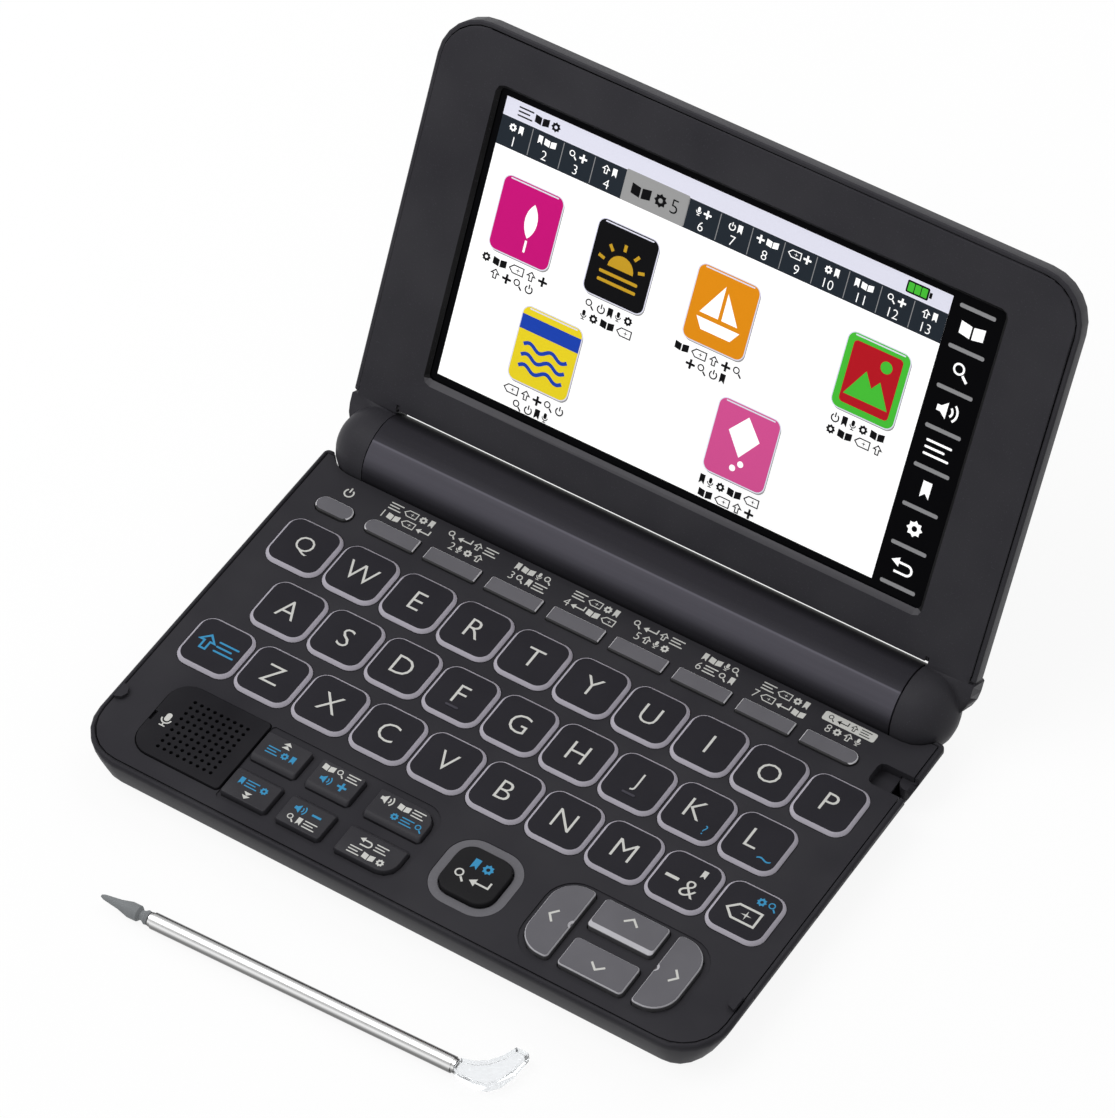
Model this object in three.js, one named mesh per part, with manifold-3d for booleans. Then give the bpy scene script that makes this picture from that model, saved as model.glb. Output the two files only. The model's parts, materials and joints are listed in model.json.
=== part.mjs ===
// A pocket electronic dictionary: a thin base with a letter keyboard, a battery barrel along
// its rear edge, a screen lid that turns about the barrel, and a loose touch pen in front.
// Millimetres, +Z up. The keyboard faces up and its front edge is towards -Y. The origin is on
// the flat underside, in the middle of the base.

import * as THREE from 'three';
import { mergeVertices } from 'three/addons/utils/BufferGeometryUtils.js';
import Module from 'manifold-3d';

const wasm = await Module();
wasm.setup();

// Driving dimensions. Y positions are measured back from the front edge of the base. The plan of
// the keyboard stretches so that its letter keys and their margins fill the base.
const clearance = 0.3;
const overshoot = 1;
const weldDistance = 0.0003;

const base = {
  width: 148, rear: 90, originFromFront: 52, cornerRadius: 10.5, rearCornerRadius: 1.2,
  top: 8.5, rimShoulder: 8.1, rimChamfer: 0.4, floor: 1.2, wall: 3.9, rearWall: 2.6, ledge: 6.7, rim: 1,
  footInset: 3.2, footHeight: 0.8, keelInset: 2.7, bellyInset: 1.2, bellyHeight: 4, flankTop: 7,
};
const deck = { seam: 0.25, bottom: 7, recessDepth: 0.25 };
const hinge = { behindBase: 5, radius: 8.7, endLength: 11.1, seam: 0.3, capGap: 1.9, seatGap: 0.35, barrelGap: 0.15 };
const key = { flangeBottom: 6.3, flangeTop: 6.7, shoulder: 8.65, clearance: 0.25 };

const letterKey = {
  pitch: 13.864, width: 13.3, depth: 13.05, flangeDepth: 14.5, radius: 3.2,
  rimHeight: 9.28, rimInset: 0.65, top: 9.35, topInset: 0.75,
  barLength: 3, barWidth: 0.5, barHeight: 0.2, barFromCentre: 3.6,
  upperFirst: -62.41, homeFirst: -55.5, lowerFirst: -62.5, lowerFromFront: 34.43, rowPitch: 15.41,
  sideMargins: 9.924, rearMargin: 18.225,
};

const functionRow = {
  count: 8, left: -55.42, pitch: 14.897, width: 12.43, front: 75.26, rear: 79, top: 9.2,
  endRadius: 1.8, cornerRadius: 0.4, bevel: 0.25, shoulder: 9, stripOverhang: 0.4,
};
const powerKey = { left: -67.34, right: -58.72, front: 74.96, rear: 78.9, radius: 1.85 };

const control = {
  columns: [[-41.1, -30.4], [-28, -17.6], [-14.1, -0.7]],
  rows: [['up', 15.16, 22.43], ['down', 5.05, 12.43]],
  top: 9.4, shoulder: 8.8, slope: 1.2, bevel: 0.25, cornerRadius: 0.6, outerRadius: 3.5,
  recess: { left: -41.5, right: 0.5, front: 3.9, rear: 24.4, radius: 4.6, innerRadius: 0.5 },
};
const enter = {
  left: 7.15, right: 19.55, front: 8.15, rear: 20.27, radius: 3.5, top: 9.5,
  ringWidth: 2.4, ringRadius: 6, ringDepth: 0.12,
};
const arrow = {
  sideWidth: 7.6, left: 28.1, right: 62.3, front: 4.96, rear: 23.15, roundRadius: 5.6,
  middleLeft: 37.9, middleRight: 52.6, upFront: 15.57, downRear: 12.44,
  top: 9.5, shoulder: 8.9, slope: 1.1, bevel: 0.25, cornerRadius: 0.9,
  recess: { left: 27, right: 63.8, front: 3.5, rear: 24.25, radius: 6.6 },
  dimpleRadius: 1.7, dimpleDepth: 0.45, dimpleOverhang: 0.3,
};
const speaker = {
  left: -63.7, right: -41.8, front: 5.33, rear: 24.2, outerRadius: 4.6, innerRadius: 0.8,
  pocketFloor: 7.55, top: 8.9, holeCount: 9, holePitch: 1.6, holeRadius: 0.38,
  gridX: -51.6, gridFromFront: 14.37, soundRadius: 7.2, edgeBevel: 0.3,
  micFromFront: 13.8, micLength: 2.5, micDepth: 0.7,
  driverRadius: 9.4, driverBottom: 1.5, driverTop: 6.6, coneDepth: 2.2, magnetTop: 3.6,
};
const driverShares = { cone: 0.85, dustCap: 0.28, magnet: 0.58 };
const stop = { width: 2, length: 3.6, fromFront: 15.3, top: 9.4 };
const penBay = {
  front: 74.1, rear: 79.8, shelfDepth: 8.8, shelfHeight: 6.1, shelfRadius: 1.3, shelfWall: 0.6,
  slotDepth: 3.9, channelBottom: 3, channelFront: 14, outerWall: 0.8,
  postRadius: 1.9, postBottom: 0.6, postTop: 6.7, postInset: 2, postBeforeRear: 0.5,
};
const sideDoors = { edges: [18.9, 32.4, 41.6, 54.7], grooveWidth: 0.3, grooveDepth: 0.35, bottom: 1.9 };
const jack = { fromFront: 59.1, height: 4.3, radius: 1.8, collarRadius: 2.7, collarDepth: 1.7 };
const screw = { radius: 2.1, depth: 0.8, x: 60, fromFront: [10, 78] };
const boss = { radius: 2, top: 3, x: [-60, 0, 60], fromFront: [34, 78] };

const board = {
  leftMargin: 4.3, rightMargin: 5.4, front: 27, rearMargin: 0.4, tailLeft: -38.5, tailRightMargin: 8,
  tailFront: 5.2, bottom: 3.3, top: 4.4,
};
const mat = { inset: 0.6, bottom: 4.7, top: 5.2, ridgeHeight: 0.15, ridgeWidth: 5 };

const barrel = { footTop: 8, wall: 1.2, boreEnd: 9.1 };
const cover = { end: 11.3, thickness: 1.2, fromAngle: -74, toAngle: 16, angleGap: 2.2 };
const pin = { radius: 2.2, boreRadius: 2.5, inBarrel: 6.5, inCap: 5.2, endGap: 0.4 };
const cell = {
  sideGap: 0.4, springRoom: 5, shoulderIn: 0.5, shoulder: 0.6, nubRadius: 2.7, nub: 1.3, gap: 0.9,
};

const lid = {
  openAngle: 118.6, closedGap: 0.35, thickness: 5, cornerRadius: 10.5, barrelGap: 0.6, armEnd: -1.2,
  overhang: 0.9, lipGap: 0.26, lipSeam: 0.05,
  armInset: 9, armCornerRadius: 7.5,
  rim: 0.95, rimDepth: 0.35, seam: 0.25, plate: 0.9, backPlate: 1.2, backChamfer: 1.4,
  tongueWidth: 9.3, tongueDepth: 3.2, tongueSide: 0.5,
};
const cap = { length: 10.1, shoulderShare: 0.3, tipRadius: 0.6, floorGap: 0.15 };
const display = {
  side: 15.7, bottom: 18.6, topMargin: 11.8, cornerRadius: 1,
  bezel: 0.8, bottomBezel: 1.3, bezelPast: 0.003, overlap: 1.2, front: 1.2, back: 3.5,
};

const pen = {
  x: -3, fromFront: -22.15, angle: 2.05, radius: 1.75, tubeHalfLength: 35, tubeBore: 1.2, collar: 0.7,
  tipLength: 11.2, neckFrom: 1.4, neckTo: 1.8, nibFrom: 2.4, neckRadius: 1.05, tipRadius: 1.65,
  pointRadius: 0.55, tipStem: 3, headStem: 3, stemRadius: 0.9, headLength: 10.4, hookReach: 8.6,
  headWidth: 5, headThickness: 3.1, hookWidth: 3, headBevel: 0.5,
};
const tipShares = { straight: 0.4, waist: 0.62, point: 0.94 };
const headShares = { rise: 0.2, shoulder: 0.45, innerCurve: 0.55 };

// What follows from the driving dimensions
const longestRow = [...'qwertyuiop'];
const drawnWidth = (longestRow.length - 1) * letterKey.pitch + letterKey.width + letterKey.sideMargins;
const drawnRows = letterKey.lowerFromFront + letterKey.rowPitch * 2 + letterKey.depth / 2;
const drawnDepth = drawnRows + letterKey.rearMargin;
const stretch = { x: base.width / drawnWidth, y: base.rear / drawnDepth };
const smallestStretch = Math.min(stretch.x, stretch.y);
const halfWidth = base.width / 2;
const hingeFromFront = base.rear + hinge.behindBase;
const hingeHalfLength = halfWidth - hinge.endLength;
const capClearance = hinge.radius + hinge.capGap;
const rearMiddle = hingeFromFront - hinge.radius - hinge.barrelGap;
const boreHalfLength = hingeHalfLength - barrel.boreEnd;
const coverHalfLength = hingeHalfLength - cover.end;
const boreRadius = hinge.radius - barrel.wall;
const cellRadius = boreRadius - cell.sideGap;
const cellLength = boreHalfLength - cell.springRoom;
const lidFront = stop.top + lid.closedGap - hinge.radius;
const lidBottom = hinge.radius + lid.barrelGap;
const lidLipEnd = Math.sqrt(hinge.radius ** 2 - lidFront ** 2) + lid.lipGap;
const boardRear = hingeFromFront - capClearance - base.rearWall - board.rearMargin;
const keyPitch = letterKey.pitch * stretch.x;
const keySize = {
  width: letterKey.width * stretch.x, depth: letterKey.depth * stretch.y,
  flangeDepth: letterKey.flangeDepth * stretch.y,
};
const letterRow = (names, firstX, place) => ({
  names: [...names], firstX: firstX * stretch.x,
  fromFront: (letterKey.lowerFromFront + place * letterKey.rowPitch) * stretch.y,
});
const letterRows = [
  letterRow(longestRow, letterKey.upperFirst, 2),
  letterRow('asdfghjkl', letterKey.homeFirst, 1),
  letterRow(['shift', ...'zxcvbnm', 'dash', 'delete'], letterKey.lowerFirst, 0),
];
const barKeys = ['f', 'j'];

// A rectangle of the drawn plan on the real base
const inPlan = ({ left, right, front, rear }) => ({
  left: left * stretch.x, right: right * stretch.x, front: front * stretch.y, rear: rear * stretch.y,
});

// Counts and colours
const segments = {
  corner: 2, largeCorner: 3, caseCorner: 6, round: 24, barrel: 40, small: 12, boss: 8, hole: 4, dome: 6,
};
const colours = {
  shell: 0x343337, lidShell: 0x38373c, skirt: 0xa5a2aa, control: 0x39383c, grey: 0x626165,
  barrel: 0x464548, glass: 0x050506, steel: 0xc4c2be, tip: 0x7d8082, clear: 0xe6e8ea,
  circuit: 0x1f5a3a, rubber: 0x55555a, cell: 0x8e7a4a, dark: 0x1b1b1e,
};

const material = (color, roughness = 0.6, metalness = 0) =>
  new THREE.MeshStandardMaterial({ color, roughness, metalness });

// A solid for joining and cutting, from a closed three.js geometry
function solid(geometry) {
  const bare = geometry.clone();
  bare.deleteAttribute('normal');
  bare.deleteAttribute('uv');
  const welded = mergeVertices(bare, weldDistance);
  const vertProperties = new Float32Array(welded.attributes.position.array);
  const triVerts = new Uint32Array(welded.index.array);
  return new wasm.Manifold(new wasm.Mesh({ numProp: 3, vertProperties, triVerts }));
}

function toGeometry(body) {
  const { vertProperties, triVerts, numProp } = body.getMesh();
  const positions = [];
  for (let i = 0; i < vertProperties.length; i += numProp) {
    positions.push(vertProperties[i], vertProperties[i + 1], vertProperties[i + 2]);
  }
  const geometry = new THREE.BufferGeometry();
  geometry.setAttribute('position', new THREE.Float32BufferAttribute(positions, 3));
  geometry.setIndex([...triVerts]);
  geometry.computeVertexNormals();
  return geometry;
}

// Small corners get one step, so that keys stay light
const cornerSteps = (radius, steps) => (radius > letterKey.topInset ? steps : 1);

// Rounded rectangle as counterclockwise points. radii: front left, front right, rear right, rear left
function roundedRect({ left, right, front, rear }, radii, inset = 0, cornerCount = segments.corner) {
  const corners = [
    [left + inset, front + inset, 1, 1], [right - inset, front + inset, -1, 1],
    [right - inset, rear - inset, -1, -1], [left + inset, rear - inset, 1, -1],
  ];
  return corners.flatMap(([x, y, towardsX, towardsY], corner) => {
    const radius = Math.max(radii[corner] - inset, clearance / 2);
    const steps = cornerSteps(radii[corner], cornerCount);
    return Array.from({ length: steps + 1 }, (_, i) => {
      const angle = Math.PI + (corner + i / steps) * Math.PI / 2;
      return new THREE.Vector2(
        x + towardsX * radius + radius * Math.cos(angle),
        y + towardsY * radius + radius * Math.sin(angle),
      );
    });
  });
}

// Corner radii in the plan shrink with it
const planRadii = (radii) => radii.map((radius) => radius * smallestStretch);
const sameRadii = (radius) => [radius, radius, radius, radius];
const evenRadii = (radius) => planRadii(sameRadii(radius));

// Closed skin through a stack of outlines with the same number of points, lowest first
function loft(rings) {
  const count = rings[0].outline.length;
  const positions = rings.flatMap(({ outline, z }) => outline.flatMap((point) => [point.x, point.y, z]));
  const faces = [];
  for (let level = 0; level + 1 < rings.length; level++) {
    for (let i = 0; i < count; i++) {
      const here = level * count + i;
      const next = level * count + (i + 1) % count;
      faces.push(here, next, next + count, here, next + count, here + count);
    }
  }
  const bottomFaces = THREE.ShapeUtils.triangulateShape(rings[0].outline, []);
  for (const [a, b, c] of bottomFaces) faces.push(c, b, a);
  const offset = (rings.length - 1) * count;
  const topFaces = THREE.ShapeUtils.triangulateShape(rings.at(-1).outline, []);
  for (const [a, b, c] of topFaces) faces.push(a + offset, b + offset, c + offset);
  const geometry = new THREE.BufferGeometry();
  geometry.setAttribute('position', new THREE.Float32BufferAttribute(positions, 3));
  geometry.setIndex(faces);
  return geometry;
}

const prism = (outline, bottom, top) => solid(loft([{ outline, z: bottom }, { outline, z: top }]));

function block({ left, right, front, rear, bottom, top }) {
  const box = new THREE.BoxGeometry(right - left, rear - front, top - bottom);
  box.translate((left + right) / 2, (front + rear) / 2, (bottom + top) / 2);
  return solid(box);
}

// Upright round bar
function post(x, y, radius, bottom, top, sides = segments.round) {
  const bar = new THREE.CylinderGeometry(radius, radius, top - bottom, sides);
  bar.rotateX(Math.PI / 2);
  bar.translate(x, y, (bottom + top) / 2);
  return solid(bar);
}

// Round bar along X, centred on the Y and Z given
function crossBar(from, to, radius, y, z, sides = segments.round) {
  const bar = new THREE.CylinderGeometry(radius, radius, Math.abs(to - from), sides);
  bar.rotateZ(Math.PI / 2);
  bar.translate((from + to) / 2, y, z);
  return solid(bar);
}

// Turned shape about X from [x, radius] pairs that start and end on the axis, x rising
function turned(profile, sides = segments.round) {
  const points = profile.map(([x, radius]) => new THREE.Vector2(radius, x));
  const shape = new THREE.LatheGeometry(points, sides);
  shape.rotateZ(-Math.PI / 2);
  return solid(shape);
}

const join = (...bodies) => bodies.reduce((sum, body) => sum.add(body));
const cut = (body, ...tools) => tools.reduce((rest, tool) => rest.subtract(tool), body);

const product = new THREE.Group();
product.position.y = -base.originFromFront;

function addPart(name, body, surface, parent = product) {
  const geometry = body.isBufferGeometry ? body : toGeometry(body);
  const mesh = new THREE.Mesh(geometry, surface);
  mesh.name = name;
  parent.add(mesh);
  return mesh;
}

// Base casing
const baseRect = { left: -halfWidth, right: halfWidth, front: 0, rear: base.rear };
const baseRadii = [base.cornerRadius, base.cornerRadius, base.rearCornerRadius, base.rearCornerRadius];
const baseOutline = (inset) => roundedRect(baseRect, baseRadii, inset, segments.caseCorner);

// What the barrel and the two round lid ends take out of the rear edge
function rearCutters(inset) {
  const middle = block({
    left: -hingeHalfLength, right: hingeHalfLength,
    front: rearMiddle - inset, rear: hingeFromFront, bottom: -overshoot, top: base.top + overshoot,
  });
  const ends = [-1, 1].map((side) => post(
    side * hingeHalfLength, hingeFromFront, capClearance + inset,
    -overshoot, base.top + overshoot, segments.barrel,
  ));
  return [middle, ...ends];
}

const basePrism = (inset, rearInset, bottom, top) => (
  cut(prism(baseOutline(inset), bottom, top), ...rearCutters(rearInset))
);

// The rear edge as seen: straight behind the keyboard and hollowed round the two lid ends
function rearSeat() {
  const [middle] = rearCutters(0);
  const ends = [1, -1].map((side) => {
    const seat = turned(capProfile(hinge.seatGap));
    return (side > 0 ? seat : seat.mirror([1, 0, 0])).translate([0, hingeFromFront, hinge.radius]);
  });
  return [middle, ...ends];
}

// The outside of the base, tapering towards the table. margin moves it inwards.
const hull = (margin) => solid(loft([
  { outline: baseOutline(base.footInset + margin), z: 0 },
  { outline: baseOutline(base.keelInset + margin), z: base.footHeight },
  { outline: baseOutline(base.bellyInset + margin), z: base.bellyHeight },
  { outline: baseOutline(margin), z: base.flankTop },
  { outline: baseOutline(margin), z: base.rimShoulder },
  { outline: baseOutline(base.rimChamfer + margin), z: base.top },
]));

function screwHoles() {
  return [-1, 1].flatMap((side) => screw.fromFront.map((y) => post(
    side * screw.x * stretch.x, y * stretch.y, screw.radius, -overshoot, screw.depth, segments.small,
  )));
}

function boardBosses() {
  return boss.x.flatMap((x) => boss.fromFront.map((y) => post(
    x * stretch.x, y * stretch.y, boss.radius, base.floor / 2, boss.top, segments.boss,
  )));
}

function doorGrooves() {
  const inside = hull(sideDoors.grooveDepth);
  return sideDoors.edges.map((y) => cut(block({
    left: halfWidth - base.wall, right: halfWidth + overshoot,
    front: y * stretch.y - sideDoors.grooveWidth / 2, rear: y * stretch.y + sideDoors.grooveWidth / 2,
    bottom: sideDoors.bottom, top: base.rimShoulder,
  }), inside));
}

function jackHole() {
  const bore = (depth, radius) => crossBar(
    -halfWidth - overshoot, -halfWidth + depth, radius, jack.fromFront * stretch.y, jack.height,
    segments.small,
  );
  return [bore(base.wall + overshoot, jack.radius), bore(jack.collarDepth, jack.collarRadius)];
}

const penSlotLeft = halfWidth - penBay.slotDepth;
const penRect = {
  left: halfWidth - penBay.shelfDepth, right: halfWidth,
  front: penBay.front * stretch.y, rear: penBay.rear * stretch.y,
};

function penSlots() {
  const mouth = block({
    ...penRect, left: penSlotLeft, right: halfWidth + overshoot,
    bottom: -overshoot, top: base.top + overshoot,
  });
  const channel = block({
    left: penSlotLeft, right: halfWidth - penBay.outerWall,
    front: penBay.channelFront, rear: penRect.front + overshoot,
    bottom: penBay.channelBottom, top: base.ledge,
  }).intersect(hull(penBay.outerWall));
  return [mouth, channel];
}

// Rounded end of the rear corner, beside the mouth of the pen bay
function penPost() {
  const { postRadius, postBottom, postTop, postInset, postBeforeRear } = penBay;
  const y = penRect.rear - postBeforeRear;
  return post(halfWidth - postInset, y, postRadius, postBottom, postTop).intersect(hull(0));
}

function bottomCase() {
  const shell = cut(
    hull(0), ...rearSeat(),
    basePrism(base.wall, base.rearWall, base.floor, base.ledge + overshoot),
    prism(baseOutline(base.rim), base.ledge, base.top + overshoot),
  );
  const cutters = [...screwHoles(), ...doorGrooves(), ...jackHole(), ...penSlots()];
  return join(cut(join(shell, ...boardBosses()), ...cutters), penPost());
}

// Keys. Every key is a stack of outlines: a flange under the deck, the walls and the top.
function keySolid(rect, radii, shape) {
  const { top, shoulder, topInset, flange = clearance * 2, slopeFront = 0, slopeRear = 0 } = shape;
  const flangeRect = { ...rect, front: rect.front - flange, rear: rect.rear + flange };
  const topRect = { ...rect, front: rect.front + slopeFront, rear: rect.rear - slopeRear };
  const outline = (area, inset = 0) => roundedRect(area, radii, inset, segments.largeCorner);
  return solid(loft([
    { outline: outline(flangeRect), z: key.flangeBottom },
    { outline: outline(flangeRect), z: key.flangeTop },
    { outline: outline(rect), z: key.flangeTop },
    { outline: outline(rect), z: shoulder },
    { outline: outline(topRect, topInset), z: top },
  ]));
}

const centredRect = (width, depth) => (
  { left: -width / 2, right: width / 2, front: -depth / 2, rear: depth / 2 }
);

function letterKeySolid(withBar) {
  const wide = centredRect(keySize.width, keySize.depth);
  const flange = centredRect(keySize.width, keySize.flangeDepth);
  const radii = evenRadii(letterKey.radius);
  const body = solid(loft([
    { outline: roundedRect(flange, radii), z: key.flangeBottom },
    { outline: roundedRect(flange, radii), z: key.flangeTop },
    { outline: roundedRect(wide, radii), z: key.flangeTop },
    { outline: roundedRect(wide, radii), z: key.shoulder },
    { outline: roundedRect(wide, radii, letterKey.rimInset), z: letterKey.rimHeight },
    { outline: roundedRect(wide, radii, letterKey.topInset), z: letterKey.top },
  ]));
  if (!withBar) return body;
  return join(body, block({
    left: -letterKey.barLength / 2, right: letterKey.barLength / 2,
    front: -letterKey.barFromCentre, rear: letterKey.barWidth - letterKey.barFromCentre,
    bottom: letterKey.rimHeight, top: letterKey.top + letterKey.barHeight,
  }));
}

function addLetterKeys() {
  const plain = letterKeySolid(false);
  const barred = letterKeySolid(true);
  for (const row of letterRows) {
    row.names.forEach((letter, place) => {
      const body = barKeys.includes(letter) ? barred : plain;
      const mesh = addPart(`key_${letter}`, body, material(colours.skirt, 0.45));
      mesh.position.set(row.firstX + place * keyPitch, row.fromFront, 0);
    });
  }
}

function controlRects() {
  return control.rows.flatMap(([row, front, rear]) => control.columns.map(([left, right], column) => {
    const last = column === control.columns.length - 1;
    const radii = sameRadii(control.cornerRadius);
    if (last) radii[row === 'up' ? 2 : 1] = control.outerRadius;
    const rect = inPlan({ left, right, front, rear });
    return { name: `control_key_${row}_${column + 1}`, row, rect, radii: planRadii(radii) };
  }));
}

function addControlKeys() {
  for (const { name, row, rect, radii } of controlRects()) {
    addPart(name, keySolid(rect, radii, {
      top: control.top, shoulder: control.shoulder, topInset: control.bevel,
      slopeFront: row === 'up' ? control.slope : 0, slopeRear: row === 'down' ? control.slope : 0,
    }), material(colours.control));
  }
}

function arrowKeys() {
  const { cornerRadius: small, roundRadius: large } = arrow;
  const side = { front: arrow.front, rear: arrow.rear };
  const middle = { left: arrow.middleLeft, right: arrow.middleRight };
  const left = inPlan({ ...side, left: arrow.left, right: arrow.left + arrow.sideWidth });
  const right = inPlan({ ...side, left: arrow.right - arrow.sideWidth, right: arrow.right });
  return [
    { name: 'arrow_key_left', rect: left, radii: planRadii([large, small, small, large]),
      dimpleX: left.right + arrow.dimpleOverhang },
    { name: 'arrow_key_right', rect: right, radii: planRadii([small, large, large, small]),
      dimpleX: right.left - arrow.dimpleOverhang },
    { name: 'arrow_key_up', rect: inPlan({ ...middle, front: arrow.upFront, rear: arrow.rear }),
      radii: evenRadii(small), slopeFront: arrow.slope },
    { name: 'arrow_key_down', rect: inPlan({ ...middle, front: arrow.front, rear: arrow.downRear }),
      radii: evenRadii(small) },
  ];
}

function addArrowKeys() {
  for (const { name, rect, radii, dimpleX, slopeFront = 0 } of arrowKeys()) {
    let body = keySolid(rect, radii, {
      top: arrow.top, shoulder: arrow.shoulder, topInset: arrow.bevel, slopeFront,
    });
    if (dimpleX !== undefined) {
      const ball = new THREE.SphereGeometry(arrow.dimpleRadius, segments.small, segments.dome);
      const dimpleHeight = arrow.top + arrow.dimpleRadius - arrow.dimpleDepth;
      ball.translate(dimpleX, (rect.front + rect.rear) / 2, dimpleHeight);
      body = cut(body, solid(ball));
    }
    addPart(name, body, material(colours.grey, 0.4));
  }
}

function functionRect(place) {
  const left = functionRow.left + place * functionRow.pitch;
  return inPlan({ ...functionRow, left, right: left + functionRow.width });
}

const functionSpan = { ...functionRect(0), right: functionRect(functionRow.count - 1).right };

// Eight caps moulded on one springy strip that lies under the deck
function functionKeyStrip() {
  const strip = block({
    ...functionSpan, front: functionSpan.front - functionRow.stripOverhang,
    rear: functionSpan.rear + functionRow.stripOverhang, bottom: key.flangeBottom, top: key.flangeTop,
  });
  const caps = Array.from({ length: functionRow.count }, (_, place) => {
    const { endRadius: round, cornerRadius: small } = functionRow;
    const first = place === 0 ? round : small;
    const last = place === functionRow.count - 1 ? round : small;
    return keySolid(functionRect(place), planRadii([first, last, last, first]), {
      top: functionRow.top, shoulder: functionRow.shoulder, topInset: functionRow.bevel,
      flange: functionRow.stripOverhang / 2,
    });
  });
  return join(strip, ...caps);
}

const powerRect = inPlan(powerKey);
const enterRect = inPlan(enter);
const powerKeySolid = () => keySolid(powerRect, evenRadii(powerKey.radius), {
  top: functionRow.top, shoulder: functionRow.shoulder, topInset: functionRow.bevel,
});

const enterKeySolid = () => keySolid(enterRect, evenRadii(enter.radius), {
  top: enter.top, shoulder: enter.top - control.bevel, topInset: control.bevel,
});

// Deck: the top face of the base with its windows, shallow recesses and stops
function window(rect, radii, cornerCount = segments.largeCorner) {
  const outline = roundedRect(rect, radii, -key.clearance, cornerCount);
  return prism(outline, deck.bottom - overshoot, base.top + overshoot);
}

function letterWindows() {
  return letterRows.map((row) => {
    const last = row.firstX + (row.names.length - 1) * keyPitch;
    return window({
      left: row.firstX - keySize.width / 2, right: last + keySize.width / 2,
      front: row.fromFront - keySize.depth / 2, rear: row.fromFront + keySize.depth / 2,
    }, evenRadii(letterKey.radius), segments.corner);
  });
}

function deckRecess(rect, radii, depth) {
  return prism(roundedRect(rect, radii, 0, segments.caseCorner), base.top - depth, base.top + overshoot);
}

function deckRecesses() {
  const { recess } = control;
  const recessRadii = planRadii([recess.innerRadius, recess.radius, recess.radius, recess.innerRadius]);
  const ring = {
    left: enterRect.left - enter.ringWidth, right: enterRect.right + enter.ringWidth,
    front: enterRect.front - enter.ringWidth, rear: enterRect.rear + enter.ringWidth,
  };
  return [
    deckRecess(inPlan(recess), recessRadii, deck.recessDepth),
    deckRecess(inPlan(arrow.recess), evenRadii(arrow.recess.radius), deck.recessDepth),
    deckRecess(ring, evenRadii(enter.ringRadius), enter.ringDepth),
  ];
}

const speakerRadii = planRadii(
  [speaker.outerRadius, speaker.innerRadius, speaker.innerRadius, speaker.outerRadius],
);
const speakerRect = inPlan(speaker);
const grille = { x: speaker.gridX * stretch.x, fromFront: speaker.gridFromFront * stretch.y };

function speakerPocket() {
  const outline = roundedRect(speakerRect, speakerRadii, -clearance, segments.caseCorner);
  const soundRadius = speaker.soundRadius * smallestStretch;
  return [
    prism(outline, speaker.pocketFloor, base.top + overshoot),
    post(grille.x, grille.fromFront, soundRadius, deck.bottom - overshoot, base.top),
  ];
}

function deckStops() {
  const edge = halfWidth - base.rim - deck.seam;
  return [-1, 1].map((side) => {
    const inner = side * (edge - stop.width);
    const rect = {
      left: Math.min(inner, side * edge), right: Math.max(inner, side * edge),
      front: stop.fromFront - stop.length / 2, rear: stop.fromFront + stop.length / 2,
    };
    const round = Math.min(stop.width, stop.length / 2) - clearance / 2;
    const flat = clearance / 2;
    const radii = side < 0 ? [flat, round, round, flat] : [round, flat, flat, round];
    return prism(roundedRect(rect, radii), base.top - deck.recessDepth, stop.top);
  });
}

function penShelf() {
  const { shelfRadius: round, shelfWall: wall } = penBay;
  const radii = [round, clearance, clearance, round];
  const box = block({
    left: penRect.left - wall, right: penSlotLeft - clearance,
    front: penRect.front - wall, rear: penRect.rear + wall,
    bottom: penBay.shelfHeight - wall, top: base.top,
  });
  const pocket = prism(roundedRect(penRect, radii), penBay.shelfHeight, base.top + overshoot);
  const mouth = block({
    ...penRect, left: penSlotLeft - clearance, right: penRect.right + overshoot,
    bottom: deck.bottom - overshoot, top: base.top + overshoot,
  });
  return { box, cutters: [pocket, mouth] };
}

function deckCase() {
  const shelf = penShelf();
  const sheet = cut(prism(baseOutline(base.rim + deck.seam), deck.bottom, base.top), ...rearSeat());
  const plate = join(sheet, shelf.box, ...deckStops());
  const windows = [
    ...letterWindows(),
    window(functionSpan, evenRadii(functionRow.endRadius)),
    window(powerRect, evenRadii(powerKey.radius)),
    window(enterRect, evenRadii(enter.radius)),
    ...controlRects().map(({ rect, radii }) => window(rect, radii)),
    ...arrowKeys().map(({ rect, radii }) => window(rect, radii)),
  ];
  return cut(plate, ...windows, ...deckRecesses(), ...speakerPocket(), ...shelf.cutters);
}

function speakerPanel() {
  const outline = (inset) => roundedRect(speakerRect, speakerRadii, inset, segments.caseCorner);
  const plate = solid(loft([
    { outline: outline(0), z: speaker.pocketFloor + clearance },
    { outline: outline(0), z: speaker.top - speaker.edgeBevel / 2 },
    { outline: outline(speaker.edgeBevel), z: speaker.top },
  ]));
  const middle = (speaker.holeCount - 1) / 2;
  const pitch = speaker.holePitch * smallestStretch;
  const holes = [];
  for (let row = 0; row < speaker.holeCount; row++) {
    for (let column = 0; column < speaker.holeCount; column++) {
      holes.push(post(
        grille.x + (column - middle) * pitch, grille.fromFront + (row - middle) * pitch,
        speaker.holeRadius, speaker.pocketFloor, speaker.top + overshoot, segments.hole,
      ));
    }
  }
  const micFromFront = speaker.micFromFront * stretch.y;
  const mic = block({
    left: speakerRect.left - overshoot, right: speakerRect.left + speaker.micDepth,
    front: micFromFront - speaker.micLength / 2, rear: micFromFront + speaker.micLength / 2,
    bottom: speaker.pocketFloor, top: speaker.top + overshoot,
  });
  return cut(plate, mic, wasm.Manifold.union(holes));
}

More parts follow.
